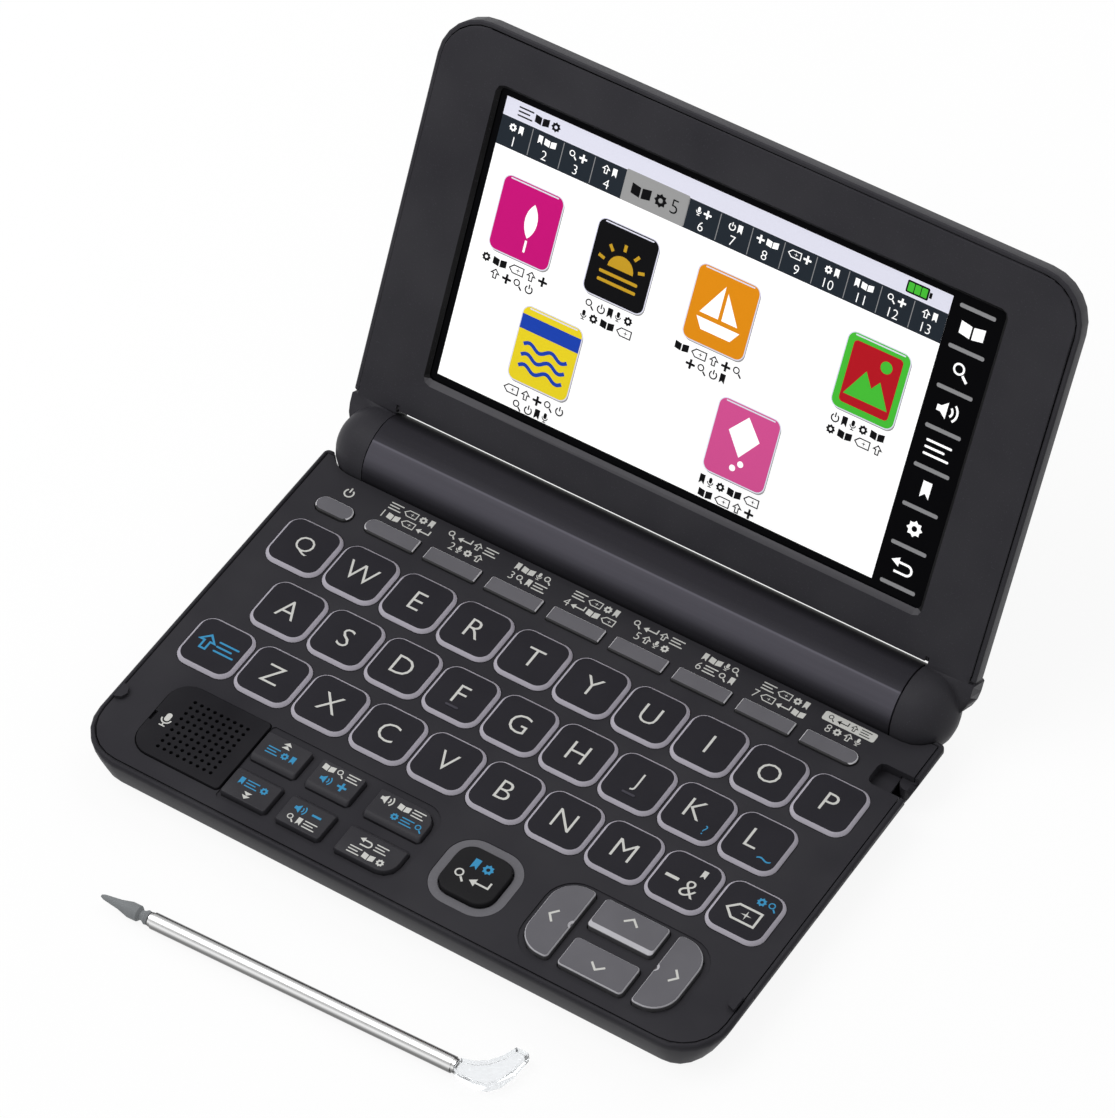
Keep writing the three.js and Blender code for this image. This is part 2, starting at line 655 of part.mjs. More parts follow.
function speakerDriver() {
  const { driverBottom, driverTop, coneDepth, magnetTop } = speaker;
  const radius = speaker.driverRadius * smallestStretch;
  const magnetRadius = radius * driverShares.magnet;
  const body = new THREE.LatheGeometry([
    [0, driverBottom], [magnetRadius, driverBottom], [magnetRadius, magnetTop],
    [radius, magnetTop], [radius, driverTop], [radius * driverShares.cone, driverTop],
    [radius * driverShares.dustCap, driverTop - coneDepth], [0, driverTop - coneDepth / 2],
  ].map(([fromAxis, z]) => new THREE.Vector2(fromAxis, z)), segments.round);
  body.rotateX(Math.PI / 2);
  body.translate(grille.x, grille.fromFront, 0);
  return solid(body);
}

// Electronics under the deck
const boardRect = { left: board.leftMargin - halfWidth, right: halfWidth - board.rightMargin };

function boardOutline(inset) {
  const left = boardRect.left + inset;
  const right = boardRect.right - inset;
  const tailLeft = board.tailLeft * stretch.x + inset;
  const tailRight = halfWidth - board.tailRightMargin - inset;
  const front = board.front * stretch.y + inset;
  const tailFront = board.tailFront + inset;
  const rear = boardRear - inset;
  return [
    [left, rear], [left, front], [tailLeft, front], [tailLeft, tailFront],
    [tailRight, tailFront], [tailRight, front], [right, front], [right, rear],
  ].map(([x, y]) => new THREE.Vector2(x, y));
}

const circuitBoard = () => prism(boardOutline(0), board.bottom, board.top);

function keyMat() {
  const sheet = prism(boardOutline(mat.inset), mat.bottom, mat.top);
  const rows = [...letterRows.map((row) => row.fromFront), (functionSpan.front + functionSpan.rear) / 2];
  const ridges = rows.map((y) => block({
    left: boardRect.left + mat.ridgeWidth, right: boardRect.right - mat.ridgeWidth,
    front: y - mat.ridgeWidth / 2, rear: y + mat.ridgeWidth / 2,
    bottom: mat.bottom, top: mat.top + mat.ridgeHeight,
  }));
  return join(sheet, ...ridges);
}

// Barrel, its cover, the two cells and the hinge pins
const degrees = (value) => value * Math.PI / 180;

// Sector of a tube wall about the hinge axis. Angles rise from straight back towards the top.
function wallSector(fromAngle, toAngle, inner, outer, halfLength) {
  const steps = segments.dome;
  const arc = (radius, reverse) => Array.from({ length: steps + 1 }, (_, i) => {
    const share = reverse ? 1 - i / steps : i / steps;
    const angle = degrees(fromAngle + share * (toAngle - fromAngle));
    return new THREE.Vector2(radius * Math.cos(angle), radius * Math.sin(angle));
  });
  const sector = loft([
    { outline: [...arc(outer, false), ...arc(inner, true)], z: -halfLength },
    { outline: [...arc(outer, false), ...arc(inner, true)], z: halfLength },
  ]);
  const towardsX = new THREE.Matrix4().set(0, 0, 1, 0, 1, 0, 0, 0, 0, 1, 0, 0, 0, 0, 0, 1);
  sector.applyMatrix4(towardsX);
  sector.translate(0, hingeFromFront, hinge.radius);
  return solid(sector);
}

function hingeBarrel() {
  const end = hingeHalfLength - hinge.seam / 2;
  const tube = crossBar(-end, end, hinge.radius, hingeFromFront, hinge.radius, segments.barrel);
  const foot = block({
    left: -end, right: end, front: rearMiddle + clearance, rear: hingeFromFront,
    bottom: 0, top: barrel.footTop,
  });
  const bore = crossBar(-boreHalfLength, boreHalfLength, boreRadius, hingeFromFront, hinge.radius);
  const opening = wallSector(cover.fromAngle - cover.angleGap, cover.toAngle + cover.angleGap,
    boreRadius - overshoot, hinge.radius + overshoot, coverHalfLength + clearance);
  const pinBores = [-1, 1].map((side) => crossBar(
    side * (hingeHalfLength - pin.inBarrel - pin.endGap), side * (hingeHalfLength + overshoot),
    pin.boreRadius, hingeFromFront, hinge.radius, segments.small,
  ));
  return cut(join(tube, foot), bore, opening, ...pinBores);
}

const batteryCover = () => wallSector(
  cover.fromAngle, cover.toAngle, hinge.radius - cover.thickness, hinge.radius, coverHalfLength,
);

function batteryCell() {
  const half = cellLength / 2;
  return turned([
    [-half, 0], [-half, cellRadius - cell.shoulderIn], [cell.shoulder - half, cellRadius],
    [half - cell.nub - cell.shoulder, cellRadius], [half - cell.nub, cellRadius - cell.shoulderIn],
    [half - cell.nub, cell.nubRadius], [half, cell.nubRadius], [half, 0],
  ], segments.small);
}

function addBatteries() {
  for (const [name, side] of [['battery_left', -1], ['battery_right', 1]]) {
    const mesh = addPart(name, batteryCell(), material(colours.cell, 0.35, 0.3));
    mesh.position.set(side * (cellLength + cell.gap) / 2, hingeFromFront, hinge.radius);
  }
}

function addHingePins() {
  for (const [name, side] of [['hinge_pin_left', -1], ['hinge_pin_right', 1]]) {
    const body = crossBar(side * (hingeHalfLength - pin.inBarrel), side * (hingeHalfLength + pin.inCap),
      pin.radius, hingeFromFront, hinge.radius, segments.small);
    addPart(name, body, material(colours.steel, 0.3, 0.9));
  }
}

// Lid, drawn closed about the hinge axis: Y runs towards the axis and Z up through its thickness
const lidRear = lidFront + lid.thickness;
const lidRect = {
  left: -halfWidth, right: halfWidth, front: -hingeFromFront - lid.overhang, rear: -lidBottom,
};
const lidRadii = [lid.cornerRadius, lid.cornerRadius, clearance, clearance];
const lidOutline = (inset) => roundedRect(lidRect, lidRadii, inset, segments.caseCorner);

function tongueWindow(side, margin) {
  const inner = side * (hingeHalfLength + lid.tongueSide - margin);
  const outer = side * (hingeHalfLength + lid.tongueSide + lid.tongueWidth + margin);
  return block({
    left: Math.min(inner, outer), right: Math.max(inner, outer),
    front: -lidBottom - lid.rim - overshoot, rear: -lid.armInset + clearance,
    bottom: lidFront + (margin ? -overshoot : 0),
    top: lidFront + lid.tongueDepth + margin,
  });
}

function lidBackCover() {
  const shell = solid(loft([
    { outline: lidOutline(clearance), z: lidFront + lid.rimDepth },
    { outline: lidOutline(0), z: lidFront + lid.rimDepth + clearance },
    { outline: lidOutline(0), z: lidRear - lid.backChamfer },
    { outline: lidOutline(lid.backChamfer / 3), z: lidRear - lid.backChamfer / 3 },
    { outline: lidOutline(lid.backChamfer), z: lidRear },
  ]));
  const hollow = prism(lidOutline(lid.rim), lidFront - overshoot, lidRear - lid.backPlate);
  return cut(shell, hollow, tongueWindow(-1, clearance), tongueWindow(1, clearance));
}

// Dome at one end of the barrel line, as [x, radius] from the seam outwards
function capProfile(margin = 0) {
  const start = hingeHalfLength + hinge.seam / 2;
  const straight = cap.length * cap.shoulderShare;
  const dome = cap.length - straight + margin;
  const largest = hinge.radius - cap.floorGap + margin;
  const profile = [[start - margin, 0], [start - margin, largest]];
  for (let i = 0; i <= segments.dome; i++) {
    const angle = (i / segments.dome) * Math.PI / 2;
    const radius = i === segments.dome ? 0 : Math.max(largest * Math.cos(angle), cap.tipRadius);
    profile.push([start + straight + dome * Math.sin(angle), radius]);
  }
  return profile;
}

function knuckle(side) {
  const dome = turned(capProfile());
  const arm = prism(roundedRect(
    { left: hingeHalfLength + hinge.seam / 2, right: halfWidth, front: -lid.armInset, rear: -lid.armEnd },
    [clearance, clearance, lid.armCornerRadius, clearance], 0, segments.caseCorner,
  ), lidFront, lidRear);
  const bore = crossBar(hingeHalfLength - overshoot, hingeHalfLength + pin.inCap + pin.endGap,
    pin.boreRadius, 0, 0, segments.small);
  const right = cut(join(dome, arm), bore);
  return side > 0 ? right : right.mirror([1, 0, 0]);
}

function displayRect(margin) {
  return {
    left: display.side - halfWidth - margin, right: halfWidth - display.side + margin,
    front: display.topMargin - hingeFromFront - lid.overhang - margin, rear: -display.bottom + margin,
  };
}

// Lip that nearly closes the gap between the lid's lower edge and the barrel
function lidLip() {
  const end = hingeHalfLength - hinge.seam;
  return block({
    left: -end, right: end, front: -lidBottom - lid.rim - lid.seam - clearance, rear: -lidLipEnd,
    bottom: lidFront, top: lidFront + lid.rimDepth - lid.lipSeam,
  });
}

function lidFrame() {
  const inset = lid.rim + lid.seam;
  const plate = prism(lidOutline(inset), lidFront, lidFront + lid.plate);
  const radii = sameRadii(display.cornerRadius);
  const sloped = { ...displayRect(display.bezel), rear: -display.bottom + display.bottomBezel };
  const slopedRadii = sameRadii(display.cornerRadius + display.bezel);
  const bezel = solid(loft([
    { outline: roundedRect(sloped, slopedRadii), z: lidFront - display.bezelPast },
    { outline: roundedRect(displayRect(0), radii), z: lidFront + lid.plate + display.bezelPast },
  ]));
  const tongues = [tongueWindow(-1, 0), tongueWindow(1, 0)];
  return join(cut(plate, bezel), lidLip(), ...tongues, knuckle(-1), knuckle(1));
}

const displayPanel = () => prism(
  roundedRect(displayRect(display.overlap), sameRadii(display.cornerRadius)),
  lidFront + display.front, lidFront + display.back,
);

function addLid() {
  const group = new THREE.Group();
  group.position.set(0, hingeFromFront, hinge.radius);
  group.rotation.x = -degrees(lid.openAngle);
  addPart('lid_frame', lidFrame(), material(colours.lidShell), group);
  addPart('lid_back_cover', lidBackCover(), material(colours.shell), group);
  addPart('display_panel', displayPanel(), material(colours.glass, 0.1), group);
  product.add(group);
}

// Touch pen, drawn along X about its own middle
function penTube() {
  const { tubeHalfLength: half, radius, collar, tubeBore } = pen;
  const outer = turned([
    [-half, 0], [-half, radius - collar / 3], [collar - half, radius - collar / 3], [collar - half, radius],
    [half - collar, radius], [half - collar, radius - collar / 3], [half, radius - collar / 3], [half, 0],
  ], segments.round);
  const sockets = [-1, 1].map((side) => crossBar(
    side * (half - pen.headStem - clearance), side * (half + overshoot), tubeBore, 0, 0, segments.small,
  ));
  return cut(outer, ...sockets);
}

function penTip() {
  const start = -pen.tubeHalfLength + pen.tipStem;
  const face = -pen.tubeHalfLength - clearance;
  const { stemRadius, neckRadius, tipRadius, pointRadius, tipLength, radius, collar } = pen;
  const profile = [
    [start, 0], [start, stemRadius], [face, stemRadius], [face, radius - collar / 2],
    [face - collar, radius - collar / 3], [face - pen.neckFrom, neckRadius], [face - pen.neckTo, neckRadius],
    [face - pen.nibFrom, tipRadius], [face - tipLength * tipShares.straight, tipRadius],
    [face - tipLength * tipShares.waist, tipRadius * tipShares.waist],
    [face - tipLength * tipShares.point, pointRadius],
    [face - tipLength, pointRadius / 2], [face - tipLength, 0],
  ];
  return turned(profile.reverse(), segments.small);
}

function penHead() {
  const start = pen.tubeHalfLength - pen.headStem;
  const face = pen.tubeHalfLength + clearance;
  const stem = crossBar(start, face + overshoot, pen.stemRadius, 0, 0, segments.small);
  const hook = new THREE.Shape();
  const halfTop = pen.headWidth / 2 - pen.headBevel;
  hook.moveTo(face, -pen.radius + pen.headBevel);
  hook.quadraticCurveTo(
    face + pen.headLength * headShares.rise, -halfTop, face + pen.headLength * headShares.shoulder, -halfTop,
  );
  hook.quadraticCurveTo(face + pen.headLength, -halfTop, face + pen.headLength, pen.hookReach);
  hook.lineTo(face + pen.headLength - pen.hookWidth + pen.headBevel, pen.hookReach);
  hook.quadraticCurveTo(
    face + pen.headLength * headShares.innerCurve, halfTop, face, pen.radius - pen.headBevel,
  );
  hook.closePath();
  const slab = new THREE.ExtrudeGeometry(hook, {
    depth: pen.headThickness - 2 * pen.headBevel, curveSegments: segments.corner * 2,
    bevelThickness: pen.headBevel, bevelSize: pen.headBevel / 2, bevelOffset: -pen.headBevel / 4,
    bevelSegments: 2,
  });
  slab.translate(0, 0, -pen.headThickness / 2 + pen.headBevel);
  return join(stem, solid(slab));
}

function addPen() {
  const group = new THREE.Group();
  group.position.set(pen.x, pen.fromFront, pen.radius);
  group.rotation.z = degrees(pen.angle);
  addPart('pen_tube', penTube(), material(colours.steel, 0.25, 0.95), group);
  addPart('pen_tip', penTip(), material(colours.tip, 0.5), group);
  addPart('pen_head', penHead(), material(colours.clear, 0.1), group);
  product.add(group);
}

function addBase() {
  addPart('bottom_case', bottomCase(), material(colours.shell));
  addPart('deck_case', deckCase(), material(colours.shell));
  addPart('speaker_panel', speakerPanel(), material(colours.shell));
  addPart('speaker_driver', speakerDriver(), material(colours.dark));
  addPart('circuit_board', circuitBoard(), material(colours.circuit, 0.5));
  addPart('key_mat', keyMat(), material(colours.rubber, 0.8));
  addPart('hinge_barrel', hingeBarrel(), material(colours.barrel, 0.45));
  addPart('battery_cover', batteryCover(), material(colours.shell));
  addBatteries();
  addHingePins();
}

function addKeys() {
  addPart('power_key', powerKeySolid(), material(colours.grey, 0.4));
  addPart('function_key_strip', functionKeyStrip(), material(colours.grey, 0.4));
  addLetterKeys();
  addControlKeys();
  addPart('enter_key', enterKeySolid(), material(colours.control));
  addArrowKeys();
}

addBase();
addKeys();
addLid();
addPen();

export default product;
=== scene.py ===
"""A pocket electronic dictionary and its touch pen, dressed around their CAD solids.

The CAD frame gives every place. Plan positions here are in millimetres: X to the right of the
middle, and Y back from the front edge of the base. The key caps, their printing, the grille, the
display picture and the thin plates between the keys are built here. Two CAD nodes are shown as
slightly changed copies, and the others keep their shapes and get their finishes.
"""
from __future__ import annotations

import json
import logging
import math
from dataclasses import dataclass, field, replace
from enum import Enum
from typing import Iterable, Sequence, TypeVar

import bmesh
import bpy
from mathutils import Matrix, Vector

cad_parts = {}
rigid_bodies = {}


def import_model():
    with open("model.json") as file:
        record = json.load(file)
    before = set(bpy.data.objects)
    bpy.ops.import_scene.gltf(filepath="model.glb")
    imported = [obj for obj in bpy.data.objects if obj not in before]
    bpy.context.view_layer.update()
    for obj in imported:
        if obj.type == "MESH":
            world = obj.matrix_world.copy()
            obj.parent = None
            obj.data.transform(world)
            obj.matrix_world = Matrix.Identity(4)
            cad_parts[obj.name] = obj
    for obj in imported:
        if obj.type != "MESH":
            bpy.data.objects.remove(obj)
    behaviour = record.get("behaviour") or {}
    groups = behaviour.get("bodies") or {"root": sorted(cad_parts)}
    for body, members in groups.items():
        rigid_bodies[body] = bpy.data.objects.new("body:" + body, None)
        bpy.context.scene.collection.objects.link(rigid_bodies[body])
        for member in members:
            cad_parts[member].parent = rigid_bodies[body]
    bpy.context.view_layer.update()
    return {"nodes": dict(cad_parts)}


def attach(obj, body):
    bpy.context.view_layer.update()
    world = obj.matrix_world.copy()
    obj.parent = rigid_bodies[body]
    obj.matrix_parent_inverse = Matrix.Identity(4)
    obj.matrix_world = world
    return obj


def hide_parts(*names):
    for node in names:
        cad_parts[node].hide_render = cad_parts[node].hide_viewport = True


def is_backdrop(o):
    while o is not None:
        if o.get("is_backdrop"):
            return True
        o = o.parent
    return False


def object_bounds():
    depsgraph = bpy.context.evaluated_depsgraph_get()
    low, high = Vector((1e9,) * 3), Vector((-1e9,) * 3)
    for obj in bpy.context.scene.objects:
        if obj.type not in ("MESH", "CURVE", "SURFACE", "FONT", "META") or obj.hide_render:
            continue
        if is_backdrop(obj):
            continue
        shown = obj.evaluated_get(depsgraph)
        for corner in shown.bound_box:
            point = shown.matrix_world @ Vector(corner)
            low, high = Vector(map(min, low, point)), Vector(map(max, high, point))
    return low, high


LOG = logging.getLogger("dictionary")

MM = 0.001
FRONT_EDGE = -52.0
HINGE_Y = 43.0
HINGE_Z = 8.7
LID_ANGLE = math.radians(118.6)
QUARTER = math.pi / 2
WELD = 1e-6
LEAST_RADIUS = 0.02
LEAST_TURN = 0.4
LETTER_SIZE = 10.0
LETTER_WEIGHT = -0.11
NUMBER_WIDTH = 0.62

Point = tuple[float, float]
Place = tuple[float, float, float]
Outline = list[Point]
Colour = tuple[float, float, float]
Value = TypeVar("Value", float, "Field")

BLACK: Colour = (0.0, 0.0, 0.0)
WHITE: Colour = (1.0, 1.0, 1.0)


def linear(red: int, green: int, blue: int) -> Colour:
    """Turn a colour on the 0 to 255 display scale into linear light.

    Args:
        red: Its red.
        green: Its green.
        blue: Its blue.

    Returns:
        The colour.
    """
    def channel(value: int) -> float:
        """Turn one channel into linear light."""
        share = value / 255
        return share / 12.92 if share <= 0.04045 else ((share + 0.055) / 1.055) ** 2.4
    return channel(red), channel(green), channel(blue)


def tinted(colour: Colour, factor: float) -> Colour:
    """Lighten or darken a colour."""
    return tuple(min(channel * factor, 1.0) for channel in colour)


def lid_place(across: Value, back: Value, rise: Value) -> tuple[Value, Value, Value]:
    """Turn a place from the hinge axis into one on the lid.

    Args:
        across: To the right of the middle.
        back: Behind the axis.
        rise: Above the axis.

    Returns:
        The place across, up the lid and out of its front.
    """
    sine, cosine = math.sin(LID_ANGLE), math.cos(LID_ANGLE)
    return across, rise * sine - back * cosine, back * -sine - rise * cosine


# Node graphs


class Field:
    """A socket of a node graph that takes part in arithmetic."""

    def __init__(self, graph: "Graph", socket: bpy.types.NodeSocket) -> None:
        """Keep the socket and the graph that it belongs to."""
        self.graph = graph
        self.socket = socket

    def _maths(self, operation: str, first: "Operand", second: "Operand") -> "Field":
        """Add a Math node for one operation."""
        return self.graph.node("ShaderNodeMath", {"operation": operation}, {0: first, 1: second})

    def __add__(self, other: "Operand") -> "Field":
        """Add."""
        return self._maths("ADD", self, other)

    __radd__ = __add__

    def __sub__(self, other: "Operand") -> "Field":
        """Subtract."""
        return self._maths("SUBTRACT", self, other)

    def __rsub__(self, other: "Operand") -> "Field":
        """Subtract this from a number."""
        return self._maths("SUBTRACT", other, self)

    def __mul__(self, other: "Operand") -> "Field":
        """Multiply."""
        return self._maths("MULTIPLY", self, other)

    __rmul__ = __mul__

    def __truediv__(self, other: "Operand") -> "Field":
        """Divide."""
        return self._maths("DIVIDE", self, other)

    def __gt__(self, other: "Operand") -> "Field":
        """Give 1 where this is the larger."""
        return self._maths("GREATER_THAN", self, other)

    def __lt__(self, other: "Operand") -> "Field":
        """Give 1 where this is the smaller."""
        return self._maths("LESS_THAN", self, other)

    def larger(self, other: "Operand") -> "Field":
        """Give the larger of the two."""
        return self._maths("MAXIMUM", self, other)

    def angle_from(self, other: "Operand") -> "Field":
        """Give the angle of the vector (other, this), in radians."""
        return self._maths("ARCTAN2", self, other)

    def step(self, start: float, end: float) -> "Field":
        """Rise smoothly from 0 at start to 1 at end.

        Args:
            start: Where it starts to rise.
            end: Where it has risen.

        Returns:
            The share.
        """
        return self.graph.node(
            "ShaderNodeMapRange", {"interpolation_type": "SMOOTHSTEP"}, {0: self, 1: start, 2: end},
        )


Operand = Field | float | bool | tuple[float, ...]


class Graph:
    """A node tree whose nodes are made from Python expressions."""

    def __init__(self, tree: bpy.types.NodeTree) -> None:
        """Keep the tree."""
        self.tree = tree

    def node(
        self, kind: str, settings: dict[str, object] | None = None,
        inputs: dict[int | str, Operand] | None = None, output: int | str = 0,
    ) -> Field:
        """Add a node.

        Args:
            kind: The node's type.
            settings: Its properties, set before its sockets. "stops" gives a ramp's stops.
            inputs: Values or links by socket.
            output: The output wanted.

        Returns:
            The output, ready for arithmetic.
        """
        made = self.tree.nodes.new(kind)
        for name, value in (settings or {}).items():
            if name == "stops":
                self._set_stops(made, value)
            else:
                setattr(made, name, value)
        for socket, value in (inputs or {}).items():
            self.join(value, made.inputs[socket])
        return Field(self, made.outputs[output])

    @staticmethod
    def _set_stops(ramp: bpy.types.Node, stops: Sequence[tuple[float, Colour]]) -> None:
        """Give a colour ramp its stops.

        Args:
            ramp: The ramp.
            stops: Positions with their colours, lowest first.
        """
        elements = ramp.color_ramp.elements
        elements.remove(elements[-1])
        elements[0].position = stops[0][0]
        elements[0].color = (*stops[0][1], 1.0)
        for position, colour in stops[1:]:
            elements.new(position).color = (*colour, 1.0)

    def join(self, value: Operand, socket: bpy.types.NodeSocket) -> None:
        """Set a socket to a value, or link a field to it.

        Args:
            value: A value or a field.
            socket: The socket.
        """
        if isinstance(value, Field):
            self.tree.links.new(value.socket, socket)
        elif isinstance(value, tuple) and socket.type == "RGBA":
            socket.default_value = (*value, 1.0)
        else:
            socket.default_value = value

    def close(self, surface: Field, end: str) -> None:
        """Link the last shader to the node that ends the tree."""
        self.join(surface, self.tree.nodes[end].inputs["Surface"])

    def ray(self, kind: str) -> Field:
        """Give 1 for rays of one kind."""
        return self.node("ShaderNodeLightPath", output=f"Is {kind} Ray")


class Shader(Graph):
    """A material's node graph, with its main shader."""

    def __init__(self, name: str) -> None:
        """Start a material.

        Args:
            name: The material's name.
        """
        self.material = bpy.data.materials.new(name)
        self.material.use_nodes = True
        super().__init__(self.material.node_tree)
        self.principled = self.tree.nodes["Principled BSDF"]
        self._place: Field | None = None

    def surface(self, **sockets: Operand) -> bpy.types.Material:
        """Set the main shader's sockets, named with underscores for spaces.

        Args:
            sockets: Values or fields by socket.

        Returns:
            The material.
        """
        for name, value in sockets.items():
            self.join(value, self.principled.inputs[name.replace("_", " ")])
        return self.material

    @property
    def place(self) -> Field:
        """The position on the body, in metres.

        Returns:
            The position, made on first use.
        """
        if self._place is None:
            self._place = self.node("ShaderNodeTexCoord", output="Object")
        return self._place

    def axis(self, name: str) -> Field:
        """One axis of the position, in millimetres."""
        return self.node("ShaderNodeSeparateXYZ", inputs={0: self.place}, output=name) * (1 / MM)

    def lid_place(self) -> tuple[Field, Field, Field]:
        """The place across, up and out of the lid from the hinge axis, in millimetres."""
        return lid_place(self.axis("X"), self.axis("Y") - HINGE_Y, self.axis("Z") - HINGE_Z)

    def noise(self, size: float, detail: float = 2.0, stretch: float = 1.0) -> Field:
        """Noise with features of the size given in millimetres.

        Args:
            size: Feature size.
            detail: Layers of finer noise.
            stretch: Factor of size along X, for drawn or brushed surfaces.

        Returns:
            The noise, about 0.5 in the middle.
        """
        place = self.place
        if stretch != 1.0:
            scale = (1 / stretch, 1.0, 1.0)
            place = self.node("ShaderNodeMapping", inputs={0: place, "Scale": scale})
        inputs = {"Vector": place, "Scale": 1 / (size * MM), "Detail": detail}
        return self.node("ShaderNodeTexNoise", inputs=inputs)

    def mix(self, share: Operand, low: Operand, high: Operand) -> Field:
        """Mix two colours."""
        inputs = {0: share, 6: low, 7: high}
        return self.node("ShaderNodeMix", {"data_type": "RGBA"}, inputs, output=2)

    def ramp(self, share: Field, stops: Sequence[tuple[float, Colour]]) -> Field:
        """Look a colour up along stops."""
        return self.node("ShaderNodeValToRGB", {"stops": stops}, {0: share})

    def bump(self, height: Field, depth: float) -> Field:
        """Raise the surface by a height field times a depth in millimetres."""
        return self.node("ShaderNodeBump", inputs={"Height": height, "Distance": depth * MM})


# Finishes


@dataclass(frozen=True)
class MouldedPlastic:
    """Painted or moulded plastic with a fine grain and bright flecks."""

    colour: Colour
    roughness: float = 0.42
    gloss: float = 0.08
    fleck: float = 0.3
    veil: float = 0.02
    grain_size: float = 0.22
    grain_depth: float = 0.005
    grain_roughness: float = 0.16
    cloud_size: float = 18.0
    cloud_roughness: float = 0.06
    cloud_shade: float = 0.08
    fleck_size: float = 0.26
    fleck_range: Point = (0.68, 0.8)
    fleck_tint: float = 2.4

    def build(self, name: str) -> bpy.types.Material:
        """Make the material."""
        return self.dress(Shader(name), self.colour)

    def dress(self, shader: Shader, colour: Operand) -> bpy.types.Material:
        """Lay the grain and flecks over a colour.

        Args:
            shader: The material's graph.
            colour: The colour under them.

        Returns:
            The material.
        """
        cloud = shader.noise(self.cloud_size)
        grain = shader.noise(self.grain_size)
        specks = shader.noise(self.fleck_size, detail=0.0).step(*self.fleck_range) * self.fleck
        dark = shader.mix(self.cloud_shade, colour, BLACK)
        toned = shader.mix(cloud, dark, shader.mix(self.veil, colour, WHITE))
        rough = (grain - 0.5) * self.grain_roughness + (cloud - 0.5) * self.cloud_roughness
        return shader.surface(
            Base_Color=shader.mix(specks, toned, tinted(self.colour, self.fleck_tint)),
            Roughness=rough + self.roughness,
            Specular_IOR_Level=self.gloss,
            Normal=shader.bump(grain, self.grain_depth),
        )


@dataclass(frozen=True)
class LidPlastic(MouldedPlastic):
    """The lid's front, with painted shade on the slope round the glass and painted light on the
    slope below it.
    """

    slope_out: float = -1.07
    window_side: float = 59.5
    window_low: float = 17.0
    window_high: float = 85.3
    lit_bottom_slope: Colour = (0.07, 0.07, 0.07)
    bottom_depth: float = 1.75
    slope_shade_tint: float = 0.12

    def build(self, name: str) -> bpy.types.Material:
        """Make the material.

        Args:
            name: The material's name.

        Returns:
            The material.
        """
        shader = Shader(name)
        across, up, out = shader.lid_place()
        beside = (across < self.window_side) * (across > -self.window_side)
        inside = beside * (up < self.window_high) * (up > self.window_low)
        # Painted shade darkens the slope at the sides and top of the window; painted light makes
        # the slope below it paler.
        below = up < self.window_low + self.bottom_depth
        edge = shader.mix(below, tinted(self.colour, self.slope_shade_tint), self.lit_bottom_slope)
        return self.dress(shader, shader.mix(inside * (out < self.slope_out), self.colour, edge))


@dataclass(frozen=True)
class KeyPlastic(MouldedPlastic):
    """A key cap with a dark top on a pale skirt, which takes painted shade low down and in front.
    """

    # On the letter keys this is the skirt's own pale colour; on the function and arrow keys it is a
    # painted highlight along the chamfered edge.
    skirt_and_edge_highlight: Colour = (0.4, 0.4, 0.4)
    top_height: float = 9.35
    # Below this height the skirt takes painted shade, as in the gap round the key.
    shade_below: float = 8.5
    low_shade_share: float = 0.06
    # In front of this line the skirt takes painted shade.
    front: float = -1000.0
    cloud_size: float = 9.0
    grain_roughness: float = 0.12
    skirt_roughness: float = 0.36
    skirt_tints: Point = (0.93, 1.06)
    top_tints: Point = (0.85, 1.15)
    top_blend: Point = (-0.05, -0.03)
    skirt_blend: float = 0.05
    bar_rise: float = 0.06
    bar_highlight_tint: float = 3.0

    def build(self, name: str) -> bpy.types.Material:
        """Make the material.

        Args:
            name: The material's name.

        Returns:
            The material.
        """
        shader = Shader(name)
        height = shader.axis("Z")
        top = height.step(*(self.top_height + offset for offset in self.top_blend))
        grain = shader.noise(self.grain_size)
        cloud = shader.noise(self.cloud_size)
        # Painted shade: the skirt turns dark low down and in front of the front line.
        behind = shader.axis("Y") > self.front + FRONT_EDGE
        above_painted_shade = height.step(self.shade_below, self.shade_below + self.skirt_blend) * behind
        pale = shader.mix(cloud, *(tinted(self.skirt_and_edge_highlight, tint) for tint in self.skirt_tints))
        skirt_and_edge_highlight = shader.mix(above_painted_shade, tinted(self.skirt_and_edge_highlight, self.low_shade_share), pale)
        dark = shader.mix(cloud, *(tinted(self.colour, tint) for tint in self.top_tints))
        # Painted highlight: the raised bar is drawn much lighter than the key top.
        bar = height > self.top_height + self.bar_rise
        dark = shader.mix(bar, dark, tinted(self.colour, self.bar_highlight_tint))
        rough = (grain - 0.5) * self.grain_roughness + top * (self.roughness - self.skirt_roughness)
        return shader.surface(
            Base_Color=shader.mix(top, skirt_and_edge_highlight, dark),
            Roughness=rough + self.skirt_roughness,
            Specular_IOR_Level=self.gloss,
            Normal=shader.bump(grain, self.grain_depth),
        )


